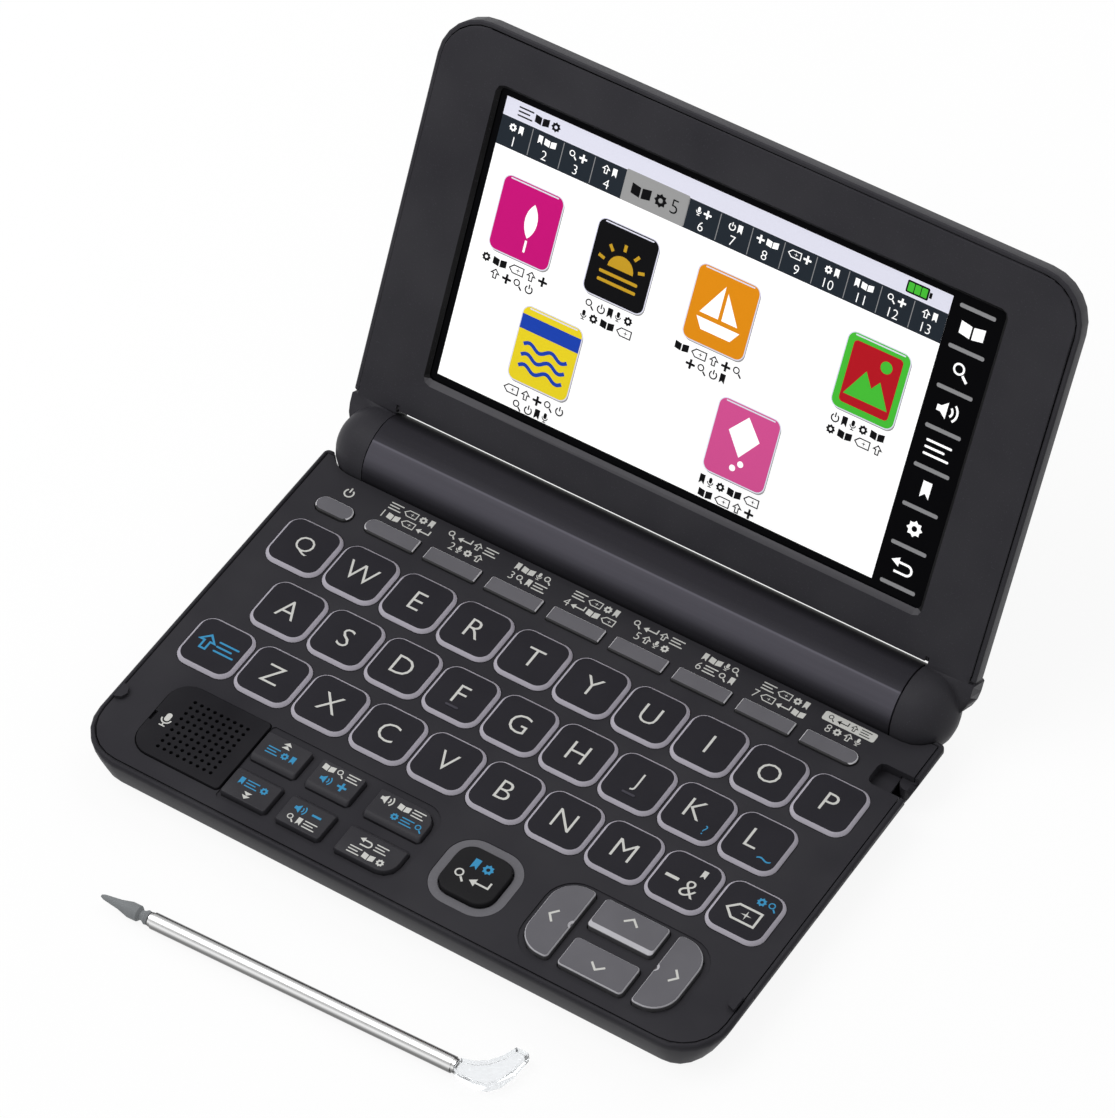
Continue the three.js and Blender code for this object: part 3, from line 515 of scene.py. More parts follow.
@dataclass(frozen=True)
class BarrelPlastic(MouldedPlastic):
    """The barrel: a satin band that ends sharply at a darker upper side, with painted light and
    shade over both.

    Its tones are pairs of an angle round the barrel, in degrees up from the front, and a
    reflectance. They start at its foot. They hold painted shade near the deck and towards the
    gap under the lid, and a painted highlight along the band's upper edge.
    """

    foot: float = -90.0
    # Over the two real tones: painted shade near the deck and towards the gap under the lid, and a
    # painted highlight along the band's upper edge.
    tones_with_painted_light: tuple[Point, ...] = (
        (-90, 0.030), (-30, 0.030), (-16, 0.010), (-2, 0.011), (6, 0.020), (14, 0.024), (22, 0.040),
        (30, 0.069), (38, 0.090), (46, 0.091), (54, 0.085), (60.5, 0.092), (61.5, 0.126),
        (63.5, 0.126), (64.5, 0.046), (70, 0.036), (78, 0.030), (102, 0.031), (110, 0.019),
        (118, 0.013), (126, 0.004), (134, 0.001), (148, 0.001), (156, 0.030), (270, 0.030),
    )
    streak_size: float = 0.5
    streak_stretch: float = 40.0
    streak_shade: float = 0.12

    def build(self, name: str) -> bpy.types.Material:
        """Make the material.

        Args:
            name: The material's name.

        Returns:
            The material.
        """
        shader = Shader(name)
        back, rise = shader.axis("Y") - HINGE_Y, shader.axis("Z") - HINGE_Z
        turn = back.angle_from(rise) / (2 * math.pi) + 0.5
        tints = ((angle, tinted(self.colour, tone / self.colour[1])) for angle, tone in self.tones_with_painted_light)
        bands_with_painted_light = shader.ramp(turn, [((angle - self.foot) / 360, tint) for angle, tint in tints])
        streaks = shader.noise(self.streak_size, stretch=self.streak_stretch)
        return self.dress(shader, shader.mix(streaks * self.streak_shade, bands_with_painted_light, BLACK))


@dataclass(frozen=True)
class DarkGlass:
    """The glass over the display."""

    colour: Colour = (0.0015, 0.0015, 0.002)
    roughness: float = 0.12
    gloss: float = 0.02
    smear_size: float = 14.0
    smear_tint: float = 1.6
    smear_roughness: float = 0.05
    smear_depth: float = 0.004

    def build(self, name: str) -> bpy.types.Material:
        """Make the material.

        Args:
            name: The material's name.

        Returns:
            The material.
        """
        shader = Shader(name)
        smear = shader.noise(self.smear_size, detail=4.0)
        return shader.surface(
            Base_Color=shader.mix(smear, self.colour, tinted(self.colour, self.smear_tint)),
            Roughness=smear * self.smear_roughness + self.roughness,
            Specular_IOR_Level=self.gloss,
            Normal=shader.bump(smear, self.smear_depth),
        )


@dataclass(frozen=True)
class Ink:
    """Printing, or a lit part of the display picture."""

    colour: Colour
    glow: float = 0.0
    roughness: float = 0.5
    gloss: float = 0.03
    speckle_size: float = 0.3
    speckle_tint: float = 0.96
    speckle_roughness: float = 0.1
    speckle_depth: float = 0.001

    def build(self, name: str) -> bpy.types.Material:
        """Make the material.

        Args:
            name: The material's name.

        Returns:
            The material.
        """
        shader = Shader(name)
        speckle = shader.noise(self.speckle_size, detail=1.0)
        colour = shader.mix(speckle, tinted(self.colour, self.speckle_tint), self.colour)
        lit = {"Emission_Color": colour, "Emission_Strength": self.glow} if self.glow else {}
        return shader.surface(
            Base_Color=colour, Roughness=speckle * self.speckle_roughness + self.roughness,
            Specular_IOR_Level=self.gloss, Normal=shader.bump(speckle, self.speckle_depth), **lit,
        )


@dataclass(frozen=True)
class Metal:
    """Polished or drawn metal."""

    colour: Colour
    roughness: float = 0.18
    drawn_size: float = 0.25
    drawn_stretch: float = 30.0
    drawn_roughness: float = 0.12
    drawn_depth: float = 0.003
    drawn_tint: float = 0.9

    def build(self, name: str) -> bpy.types.Material:
        """Make the material.

        Args:
            name: The material's name.

        Returns:
            The material.
        """
        shader = Shader(name)
        drawn = self.drawn(shader)
        return self.polish(
            shader, drawn, shader.mix(drawn, tinted(self.colour, self.drawn_tint), self.colour),
        )

    def drawn(self, shader: Shader) -> Field:
        """Give the fine lines along the metal."""
        return shader.noise(self.drawn_size, stretch=self.drawn_stretch)

    def polish(self, shader: Shader, drawn: Field, colour: Field) -> bpy.types.Material:
        """Turn a colour into metal with fine lines.

        Args:
            shader: The material's graph.
            drawn: The fine lines.
            colour: The metal's colour.

        Returns:
            The material.
        """
        return shader.surface(
            Base_Color=colour, Metallic=1.0, Normal=shader.bump(drawn, self.drawn_depth),
            Roughness=drawn * self.drawn_roughness + self.roughness,
        )


@dataclass(frozen=True)
class DrawnTube(Metal):
    """A polished tube with a painted reflection: long light and dark bands in its colour.

    Its levels are pairs of an angle round the tube, in degrees up from the front, and a grey of
    painted reflection on the 0 to 255 display scale.
    """

    middle: Place = (-3.0, -74.15, 1.75)
    turned: float = 2.05
    drawn_depth: float = 0.002
    drawn_share: float = 0.1
    spare: float = 18.0
    # Painted reflection: the light and dark bands that the polished tube reflects, as greys by
    # angle.
    levels: tuple[tuple[float, int], ...] = (
        (-18, 85), (-2, 95), (15, 128), (22, 172), (29, 215), (35, 238), (41, 232), (46, 204),
        (52, 166), (57.5, 140), (63, 158), (69, 214), (74.5, 246), (80.5, 250), (87, 236),
        (93, 198), (101, 172), (109.5, 146), (120, 103), (140, 55),
    )

    def build(self, name: str) -> bpy.types.Material:
        """Make the material.

        Args:
            name: The material's name.

        Returns:
            The material.
        """
        shader = Shader(name)
        x, y, z = self.middle
        lean = math.tan(math.radians(self.turned))
        behind = shader.axis("Y") - y - (shader.axis("X") - x) * lean
        turn = (shader.axis("Z") - z).angle_from(0.0 - behind) / math.pi + self.spare / 180
        # The painted reflection is laid into the metal's colour.
        greys = ((angle, linear(level, level, level)) for angle, level in self.levels)
        bands_with_painted_light = shader.ramp(turn, [((angle + self.spare) / 180, grey) for angle, grey in greys])
        drawn = self.drawn(shader)
        return self.polish(shader, drawn, shader.mix(drawn * self.drawn_share, bands_with_painted_light, self.colour))


@dataclass(frozen=True)
class ClearPlastic:
    """Clear moulded plastic."""

    colour: Colour = (0.9, 0.92, 0.94)
    roughness: float = 0.03
    index: float = 1.49
    clearness: float = 0.92
    flow_size: float = 4.0
    flow_tint: float = 0.95
    flow_roughness: float = 0.06
    flow_depth: float = 0.05

    def build(self, name: str) -> bpy.types.Material:
        """Make the material.

        Args:
            name: The material's name.

        Returns:
            The material.
        """
        shader = Shader(name)
        flow = shader.noise(self.flow_size, detail=3.0)
        return shader.surface(
            Base_Color=shader.mix(flow, tinted(self.colour, self.flow_tint), self.colour),
            Roughness=flow * self.flow_roughness + self.roughness, IOR=self.index,
            Transmission_Weight=self.clearness, Normal=shader.bump(flow, self.flow_depth),
        )


class Finish(Enum):
    """The finishes of the dictionary and its pen."""

    CASE = MouldedPlastic(linear(38, 37, 42), fleck=0.1, gloss=0.05)
    # The lid's slope below the window gets painted light; the rest of the slope gets painted shade.
    LID = LidPlastic(linear(44, 43, 48), fleck=0.35, gloss=0.05, lit_bottom_slope=linear(76, 75, 79))
    LID_BACK = MouldedPlastic(linear(43, 42, 47))
    PANEL = MouldedPlastic(linear(20, 19, 24), roughness=0.5, fleck=0.05, gloss=0.04)
    BARREL = BarrelPlastic(linear(50, 49, 54), roughness=0.38, fleck=0.1, gloss=0.02, veil=0.0)
    # Letter keys: painted shade on the skirt below the deck.
    LETTER_KEY = KeyPlastic(
        linear(38, 37, 42), roughness=0.45, gloss=0.05, skirt_and_edge_highlight=linear(178, 174, 184),
    )
    DARK_KEY = MouldedPlastic(linear(38, 37, 42), roughness=0.4, fleck=0.1, gloss=0.12)
    # Function keys: painted highlight on the chamfer, painted shade on the sides and on the front
    # edge.
    FUNCTION_KEY = KeyPlastic(
        linear(94, 93, 98), gloss=0.15, skirt_and_edge_highlight=linear(205, 204, 208), top_height=9.2,
        shade_below=8.9, front=75.6,
    )
    # Arrow keys: painted highlight on the chamfer, painted shade on the sides.
    ARROW_KEY = KeyPlastic(
        linear(94, 93, 98), gloss=0.15, skirt_and_edge_highlight=linear(180, 179, 184), top_height=9.5,
        shade_below=9.16, low_shade_share=0.16,
    )
    ENTER_KEY = MouldedPlastic(linear(11, 10, 14), roughness=0.4, fleck=0.02, gloss=0.04)
    GREY_KEY = MouldedPlastic(linear(94, 93, 98), roughness=0.34, fleck=0.12, gloss=0.18)
    GLASS = DarkGlass()
    SPEAKER = MouldedPlastic(linear(20, 20, 22), roughness=0.5)
    BOARD = MouldedPlastic(linear(34, 92, 62), roughness=0.45)
    RUBBER = MouldedPlastic(linear(86, 86, 90), roughness=0.7)
    CELL = Metal(linear(176, 150, 96), roughness=0.3)
    STEEL = DrawnTube(linear(205, 203, 200))
    PIN = Metal(linear(185, 184, 182), roughness=0.25)
    NIB = MouldedPlastic(linear(122, 125, 127), roughness=0.5, fleck=0.2)
    CLEAR = ClearPlastic()
    PRINT = Ink(linear(200, 200, 196))
    BLUE_PRINT = Ink(linear(62, 142, 186))
    SCREEN_WHITE = Ink((0.95, 0.95, 0.95), glow=0.35, roughness=0.3)
    SCREEN_BAR = Ink(linear(222, 222, 236), glow=0.2, roughness=0.3)
    SCREEN_SLATE = Ink(linear(40, 47, 55), roughness=0.3)
    SCREEN_TAB = Ink(linear(168, 168, 168), roughness=0.3)
    SCREEN_BLACK = Ink(linear(18, 18, 20), roughness=0.3)
    SCREEN_GREEN = Ink(linear(74, 196, 58), glow=0.1, roughness=0.3)
    SCREEN_PINK = Ink(linear(216, 24, 130), roughness=0.3)
    SCREEN_ROSE = Ink(linear(232, 90, 160), roughness=0.3)
    SCREEN_RED = Ink(linear(196, 28, 40), roughness=0.3)
    SCREEN_GOLD = Ink(linear(214, 168, 44), roughness=0.3)
    SCREEN_YELLOW = Ink(linear(244, 220, 40), glow=0.1, roughness=0.3)
    SCREEN_BLUE = Ink(linear(34, 74, 190), roughness=0.3)
    SCREEN_ORANGE = Ink(linear(240, 150, 24), glow=0.05, roughness=0.3)
    SCREEN_GREY = Ink(linear(150, 150, 152), roughness=0.3)

    def material(self) -> bpy.types.Material:
        """Give the finish's material, made on first use."""
        name = self.name.lower()
        return bpy.data.materials.get(name) or self.value.build(name)


# Flat shapes and meshes, in millimetres


@dataclass(frozen=True)
class Rect:
    """A rectangle of the plan."""

    left: float
    right: float
    front: float
    rear: float

    @classmethod
    def about(cls, x: float, y: float, width: float, depth: float) -> "Rect":
        """A rectangle about its middle."""
        return cls(x - width / 2, x + width / 2, y - depth / 2, y + depth / 2)

    @property
    def centre(self) -> Point:
        """The middle."""
        return (self.left + self.right) / 2, (self.front + self.rear) / 2

    def grown(self, margin: float) -> "Rect":
        """The rectangle with a margin on every side.

        Args:
            margin: How far each side moves out.

        Returns:
            The larger rectangle.
        """
        return Rect(
            self.left - margin, self.right + margin, self.front - margin, self.rear + margin,
        )

    def outline(
        self, radii: float | Sequence[float] = 0.0, inset: float = 0.0, steps: int = 6,
    ) -> Outline:
        """Points counterclockwise from the front left, with rounded corners.

        Args:
            radii: One radius, or those of the front left, front right, rear right and rear left.
            inset: How far the outline lies inside the rectangle.
            steps: Steps in each corner.

        Returns:
            The outline.
        """
        four = [radii] * 4 if isinstance(radii, (int, float)) else list(radii)
        left, right = self.left + inset, self.right - inset
        front, rear = self.front + inset, self.rear - inset
        corners = (
            (left, front, 1, 1), (right, front, -1, 1), (right, rear, -1, -1), (left, rear, 1, -1),
        )
        points = []
        for number, (x, y, towards_x, towards_y) in enumerate(corners):
            radius = max(four[number] - inset, LEAST_RADIUS)
            for step in range(steps + 1):
                angle = math.pi + (number + step / steps) * QUARTER
                points.append((
                    x + towards_x * radius + radius * math.cos(angle),
                    y + towards_y * radius + radius * math.sin(angle),
                ))
        return points

    def box(self) -> Outline:
        """Points of the plain rectangle."""
        return self.outline(steps=1)


def moved(outline: Iterable[Point], x: float, y: float, size: float = 1.0) -> Outline:
    """Scale an outline about its origin, then move it."""
    return [(x + size * px, y + size * py) for px, py in outline]


def arc(x: float, y: float, radius: float, start: float, end: float, steps: int = 12) -> Outline:
    """Points along an arc, with angles in degrees."""
    angles = [math.radians(start + (end - start) * i / steps) for i in range(steps + 1)]
    return [(x + radius * math.cos(angle), y + radius * math.sin(angle)) for angle in angles]


def circle(x: float, y: float, radius: float, sides: int = 24) -> Outline:
    """Points round a circle."""
    return arc(x, y, radius, 0, 360, sides)[:-1]


def ribbon(path: Sequence[Point], width: float) -> Outline:
    """Outline of a line of even width drawn along a path.

    Args:
        path: Points along its middle.
        width: Its width.

    Returns:
        The outline.
    """
    sides: tuple[Outline, Outline] = ([], [])
    for i, (x, y) in enumerate(path):
        before = Vector(path[max(i - 1, 0)])
        after = Vector(path[min(i + 1, len(path) - 1)])
        here = Vector((x, y))
        one = (here - before).normalized() if i else (after - here).normalized()
        two = (after - here).normalized() if i < len(path) - 1 else one
        normal = Vector((-(one.y + two.y), one.x + two.x)).normalized()
        reach = width / 2 / max(normal.dot(Vector((-one.y, one.x))), LEAST_TURN)
        sides[0].append((x + normal.x * reach, y + normal.y * reach))
        sides[1].append((x - normal.x * reach, y - normal.y * reach))
    return sides[0] + sides[1][::-1]


def star(x: float, y: float, radius: float, tips: int, depth: float) -> Outline:
    """Points of a star; the depth is the share of the radius that its notches reach.

    Args:
        x: Its middle across.
        y: Its middle back.
        radius: Reach of its tips.
        tips: How many tips it has.
        depth: Share of the radius that its notches reach.

    Returns:
        The outline.
    """
    reaches = [radius if i % 2 == 0 else radius * depth for i in range(2 * tips)]
    return [
        (x + reach * math.sin(math.pi * i / tips), y + reach * math.cos(math.pi * i / tips))
        for i, reach in enumerate(reaches)
    ]


class Workshop:
    """Makes meshes and pieces."""

    @staticmethod
    def evaluated(maker: bpy.types.Object) -> bpy.types.Mesh:
        """Give the mesh that an object shows, and drop the object.

        Args:
            maker: The object.

        Returns:
            The mesh.
        """
        graph = bpy.context.evaluated_depsgraph_get()
        mesh = bpy.data.meshes.new_from_object(maker.evaluated_get(graph))
        bpy.data.objects.remove(maker)
        return mesh

    @staticmethod
    def linked(name: str, data: bpy.types.ID) -> bpy.types.Object:
        """Put data into the scene as an object.

        Args:
            name: The object's name.
            data: What it shows.

        Returns:
            The object.
        """
        made = bpy.data.objects.new(name, data)
        bpy.context.scene.collection.objects.link(made)
        return made

    @classmethod
    def from_curve(cls, curve: bpy.types.Curve) -> bpy.types.Mesh:
        """Turn a curve or text into a mesh, and drop the curve.

        Args:
            curve: The curve or text.

        Returns:
            The mesh.
        """
        mesh = cls.evaluated(cls.linked(curve.name, curve))
        bpy.data.curves.remove(curve)
        return mesh

    @classmethod
    def plate(
        cls, outlines: Iterable[Outline], thickness: float, bevel: float = 0.0,
    ) -> bpy.types.Mesh:
        """Cut a flat plate about the XY plane.

        Args:
            outlines: Closed outlines; one that lies inside another is a hole.
            thickness: From the lower to the upper face.
            bevel: Size of the rounded edge.

        Returns:
            The mesh, in millimetres.
        """
        curve = bpy.data.curves.new("plate", "CURVE")
        curve.dimensions = "2D"
        curve.fill_mode = "BOTH"
        curve.extrude = thickness / 2 - bevel
        curve.bevel_depth = bevel
        curve.bevel_resolution = 1
        curve.offset = -bevel
        for outline in outlines:
            spline = curve.splines.new("POLY")
            spline.points.add(len(outline) - 1)
            for spot, (x, y) in zip(spline.points, outline):
                spot.co = (x, y, 0.0, 1.0)
            spline.use_cyclic_u = True
        return cls.from_curve(curve)

    @classmethod
    def lettering(cls, text: str, height: float, thickness: float) -> bpy.types.Mesh:
        """Cut text whose tallest sign has the height given, centred on the origin.

        Args:
            text: What it says.
            height: Height of the tallest sign.
            thickness: From the lower to the upper face.

        Returns:
            The mesh, in millimetres.
        """
        curve = bpy.data.curves.new("lettering", "FONT")
        curve.body = text
        curve.size = LETTER_SIZE
        curve.offset = LETTER_WEIGHT
        curve.resolution_u = 3
        curve.extrude = thickness / 2
        mesh = cls.from_curve(curve)
        low = [min(vertex.co[axis] for vertex in mesh.vertices) for axis in (0, 1)]
        high = [max(vertex.co[axis] for vertex in mesh.vertices) for axis in (0, 1)]
        scale = height / (high[1] - low[1])
        for vertex in mesh.vertices:
            vertex.co.x = (vertex.co.x - (low[0] + high[0]) / 2) * scale
            vertex.co.y = (vertex.co.y - (low[1] + high[1]) / 2) * scale
        return mesh

    @staticmethod
    def loft(rings: Sequence[tuple[Outline, float]]) -> bpy.types.Mesh:
        """Close a skin through outlines of the same number of points, lowest first.

        Args:
            rings: The outlines with their heights.

        Returns:
            The mesh, in millimetres.
        """
        shape = bmesh.new()
        loops = [[shape.verts.new((x, y, z)) for x, y in outline] for outline, z in rings]
        for lower, upper in zip(loops, loops[1:]):
            for i in range(len(lower)):
                j = (i + 1) % len(lower)
                shape.faces.new((lower[i], lower[j], upper[j], upper[i]))
        shape.faces.new(loops[0][::-1])
        shape.faces.new(loops[-1])
        return Workshop.from_shape(shape)

    @staticmethod
    def from_shape(shape: bmesh.types.BMesh) -> bpy.types.Mesh:
        """Turn an editable shape into a mesh, and drop the shape.

        Args:
            shape: The shape.

        Returns:
            The mesh.
        """
        mesh = bpy.data.meshes.new("shape")
        shape.to_mesh(mesh)
        shape.free()
        return mesh

    @staticmethod
    def merged(parts: Iterable[tuple[bpy.types.Mesh, Matrix]]) -> bpy.types.Mesh:
        """Put meshes together, each with its own place.

        Args:
            parts: The meshes with their places.

        Returns:
            The mesh of them all.
        """
        shape = bmesh.new()
        for mesh, place in parts:
            mesh.transform(place)
            shape.from_mesh(mesh)
            bpy.data.meshes.remove(mesh)
        bmesh.ops.recalc_face_normals(shape, faces=shape.faces)
        return Workshop.from_shape(shape)

    @staticmethod
    def piece(
        name: str, mesh: bpy.types.Mesh, place: Matrix, finish: Finish, slot: str, body: str,
        replaces: Sequence[str] = (), sharp_degrees: float = 38.0,
    ) -> bpy.types.Object:
        """Stand a mesh in the frame as a finished piece.

        Args:
            name: The piece's name.
            mesh: Its mesh, in millimetres.
            place: Where it goes in the frame, with its scale.
            finish: Its finish.
            slot: The record's material slot; not used.
            body: The body that it rides on.
            replaces: CAD nodes that it stands for.
            sharp_degrees: Edges that turn by more stay sharp.

        Returns:
            The object.
        """
        mesh.transform(place)
        mesh.name = name
        mesh.shade_smooth()
        mesh.set_sharp_from_angle(angle=math.radians(sharp_degrees))
        mesh.materials.clear()
        mesh.materials.append(finish.material())
        made = Workshop.linked(name, mesh)
        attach(made, body)
        if replaces:
            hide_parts(*replaces)
        LOG.info("%s: %d faces on %s", name, len(mesh.polygons), body)
        return made


def on_plan(height: float = 0.0, x: float = 0.0, y: float = 0.0) -> Matrix:
    """Give the matrix that takes millimetres about a place of the plan into the frame."""
    place = Matrix.Translation((0.0, FRONT_EDGE * MM, height * MM)) @ Matrix.Scale(MM, 4)
    return place @ Matrix.Translation((x, y, 0.0))


def on_lid(height: float) -> Matrix:
    """Give the matrix that takes millimetres of the lid into the frame.

    X runs along the hinge, Y up the lid from the hinge axis, and Z out of the lid's front. The
    axis itself is at height 0.

    Args:
        height: How far out of the axis it lies.

    Returns:
        The matrix.
    """
    along = Vector((1.0, 0.0, 0.0))
    up = Vector((0.0, -math.cos(LID_ANGLE), math.sin(LID_ANGLE)))
    turn = Matrix((along, up, along.cross(up))).transposed().to_4x4()
    place = Matrix.Translation((0.0, HINGE_Y * MM, HINGE_Z * MM))
    return place @ turn @ Matrix.Translation((0.0, 0.0, height * MM)) @ Matrix.Scale(MM, 4)


# The camera, lights and floor


@dataclass
class Studio:
    """A pale floor, soft light and the photograph's camera."""

    image: tuple[int, int] = (1115, 1118)
    focal_pixels: float = 6077.37
    azimuth: float = 35.451
    elevation: float = 50.144
    roll: float = -2.961
    place: Place = (439.14, -603.12, 950.94)
    sensor: float = 36.0
    clip: Point = (0.05, 20.0)
    ambient: float = 0.45
    lamps: tuple[tuple[str, Place, float, float], ...] = (
        ("key_light", (-0.55, -0.25, 0.95), 0.9, 8.0),
        ("rear_light", (0.1, 0.8, 0.7), 0.8, 3.4),
    )
    floor_half: float = 3000.0
    floor_thickness: float = 1.0
    floor_top: float = -0.1
    floor_greys: Point = (0.86, 0.9)
    floor_fibres: float = 30.0
    floor_roughness: float = 0.9
    floor_white: float = 0.9

    def build(self) -> None:
        """Set the whole studio up."""
        self.camera()
        self.world()
        for lamp in self.lamps:
            self.lamp(*lamp)
        self.floor()
        bpy.context.scene.view_settings.view_transform = "Standard"

    def camera(self) -> None:
        """Stand the camera where the photograph was taken."""
        turn, rise, roll = (
            math.radians(value) for value in (self.azimuth, self.elevation, self.roll)
        )
        back = Vector((
            math.sin(turn) * math.cos(rise), -math.cos(turn) * math.cos(rise), math.sin(rise),
        ))
        right = (-back).cross(Vector((0.0, 0.0, 1.0))).normalized()
        up = right.cross(-back)
        across = right * math.cos(roll) + up * math.sin(roll)
        upwards = up * math.cos(roll) - right * math.sin(roll)
        data = bpy.data.cameras.new("camera")
        data.sensor_width = self.sensor
        data.lens = self.focal_pixels * self.sensor / max(self.image)
        data.clip_start, data.clip_end = self.clip
        camera = Workshop.linked("camera", data)
        turned = Matrix((across, upwards, back)).transposed().to_4x4()
        camera.matrix_world = Matrix.Translation(Vector(self.place) * MM) @ turned
        bpy.context.scene.camera = camera

    def world(self) -> None:
        """Light everything evenly, and show white where nothing stands."""
        world = bpy.data.worlds.new("studio")
        bpy.context.scene.world = world
        world.use_nodes = True
        graph = Graph(world.node_tree)
        even = graph.tree.nodes["Background"]
        graph.join((self.ambient,) * 3, even.inputs["Color"])
        light = Field(graph, even.outputs[0])
        white = graph.node("ShaderNodeBackground", inputs={"Color": WHITE})
        seen = graph.ray("Camera").larger(graph.ray("Transmission")).larger(graph.ray("Glossy"))
        both = graph.node("ShaderNodeMixShader", inputs={0: seen, 1: light, 2: white})
        graph.close(both, "World Output")

    @staticmethod
    def lamp(name: str, place: Place, size: float, power: float) -> None:
        """Hang a soft square lamp that points at the dictionary.

        Args:
            name: Its name.
            place: Where it hangs, in metres.
            size: Its side, in metres.
            power: Its power, in watts.
        """
        data = bpy.data.lights.new(name, "AREA")
        data.size = size
        data.energy = power
        lamp = Workshop.linked(name, data)
        lamp.location = place
        lamp.rotation_euler = Vector(place).to_track_quat("Z", "Y").to_euler()

    def floor(self) -> None:
        """Lay a pale floor that keeps a soft shadow."""
        half, thickness = self.floor_half, self.floor_thickness
        mesh = Workshop.plate([Rect(-half, half, -half, half).outline()], thickness)
        middle = (self.floor_top - thickness / 2) * MM
        mesh.transform(Matrix.Translation((0.0, 0.0, middle)) @ Matrix.Scale(MM, 4))
        shader = Shader("floor")
        colours = ((grey,) * 3 for grey in self.floor_greys)
        shader.surface(
            Base_Color=shader.mix(shader.noise(self.floor_fibres), *colours),
            Roughness=self.floor_roughness,
        )
        lit = Field(shader, shader.principled.outputs[0])
        white = shader.node("ShaderNodeEmission", inputs={"Color": WHITE, "Strength": 1.0})
        seen = shader.ray("Camera") + shader.ray("Transmission") + shader.ray("Glossy")
        inputs = {0: seen * self.floor_white, 1: lit, 2: white}
        shader.close(shader.node("ShaderNodeMixShader", inputs=inputs), "Material Output")
        mesh.materials.append(shader.material)
        Workshop.linked("floor", mesh)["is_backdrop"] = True


# Printing


class Sign(Enum):
    """Line icons, each with its outlines, drawn one unit high about the origin."""

    DOUBLE_UP = [
        [(-0.55, -0.5), (0.55, -0.5), (0.0, -0.02)], [(-0.55, 0.02), (0.55, 0.02), (0.0, 0.5)],
    ]
    DOUBLE_DOWN = [
        [(-0.55, 0.5), (0.0, 0.02), (0.55, 0.5)], [(-0.55, -0.02), (0.0, -0.5), (0.55, -0.02)],
    ]
    SPEAKER = [
        [(-0.75, -0.18), (-0.5, -0.18), (-0.12, -0.5), (-0.12, 0.5), (-0.5, 0.18), (-0.75, 0.18)],
        ribbon(arc(-0.12, 0, 0.34, -48, 48, 8), 0.13),
        ribbon(arc(-0.12, 0, 0.64, -48, 48, 8), 0.13),
    ]
    PLUS = [[
        (-0.12, -0.5), (0.12, -0.5), (0.12, -0.12), (0.5, -0.12), (0.5, 0.12), (0.12, 0.12),
        (0.12, 0.5), (-0.12, 0.5), (-0.12, 0.12), (-0.5, 0.12), (-0.5, -0.12), (-0.12, -0.12),
    ]]
    MINUS = [Rect(-0.5, 0.5, -0.12, 0.12).outline(0.02, steps=1)]
    LINES = [
        Rect(-0.8, end, y - 0.07, y + 0.07).outline(0.05, steps=2)
        for y, end in ((0.4, 0.8), (0.0, 0.45), (-0.4, 0.8))
    ]
    RETURN = [[
        (-0.85, -0.1), (-0.3, -0.45), (-0.3, -0.175), (0.825, -0.175), (0.825, 0.45),
        (0.675, 0.45), (0.675, -0.025), (-0.3, -0.025), (-0.3, 0.25),
    ]]
    BACK = [
        ribbon([(-0.3, 0.2), *arc(0.25, -0.1, 0.3, 90, -90, 10), (-0.5, -0.4)], 0.14)
        + [(-0.3, -0.08), (-0.8, 0.2), (-0.3, 0.48)],
    ]
    SHIFT = [
        [
            (-0.55, 0.0), (-0.22, 0.0), (-0.22, -0.5), (0.22, -0.5), (0.22, 0.0), (0.55, 0.0),
            (0.0, 0.55),
        ],
        [
            (-0.3, 0.11), (0.0, 0.38), (0.3, 0.11), (0.11, 0.11), (0.11, -0.39), (-0.11, -0.39),
            (-0.11, 0.11),
        ],
    ]
    ERASE = [
        [(-0.9, 0.0), (-0.42, -0.46), (0.8, -0.46), (0.8, 0.46), (-0.42, 0.46)],
        [(-0.74, 0.0), (-0.37, 0.35), (0.69, 0.35), (0.69, -0.35), (-0.37, -0.35)],
        star(0.15, 0.0, 0.27, 4, 0.2),
    ]
    POWER = [
        ribbon(arc(0, -0.05, 0.38, 55, -235, 20), 0.13),
        Rect(-0.065, 0.065, 0.02, 0.5).outline(0.03, steps=2),
    ]
    MICROPHONE = [
        Rect(-0.17, 0.17, -0.1, 0.5).outline(0.17), ribbon(arc(0, 0.05, 0.3, 180, 360), 0.09),
        Rect(-0.045, 0.045, -0.42, -0.31).outline(),
        Rect(-0.2, 0.2, -0.5, -0.425).outline(0.03, steps=2),
    ]
    MARK = [[(-0.28, 0.5), (-0.28, -0.5), (0.0, -0.22), (0.28, -0.5), (0.28, 0.5)]]
    UP = [ribbon([(-0.8, -0.32), (0.0, 0.38), (0.8, -0.32)], 0.24)]
    DOWN = [ribbon([(-0.8, 0.32), (0.0, -0.38), (0.8, 0.32)], 0.24)]
    LEFT = [ribbon([(0.32, 0.8), (-0.38, 0.0), (0.32, -0.8)], 0.24)]
    RIGHT = [ribbon([(-0.32, 0.8), (0.38, 0.0), (-0.32, -0.8)], 0.24)]
    BOOK = [
        [(-0.75, 0.4), (-0.06, 0.28), (-0.06, -0.45), (-0.75, -0.33)],
        [(0.75, 0.4), (0.75, -0.33), (0.06, -0.45), (0.06, 0.28)],
    ]
    LENS = [
        circle(-0.12, 0.12, 0.36), circle(-0.12, 0.12, 0.24),
        ribbon([(0.17, -0.17), (0.5, -0.5)], 0.16),
    ]
    GEAR = [star(0, 0, 0.5, 8, 0.74), circle(0, 0, 0.17)]


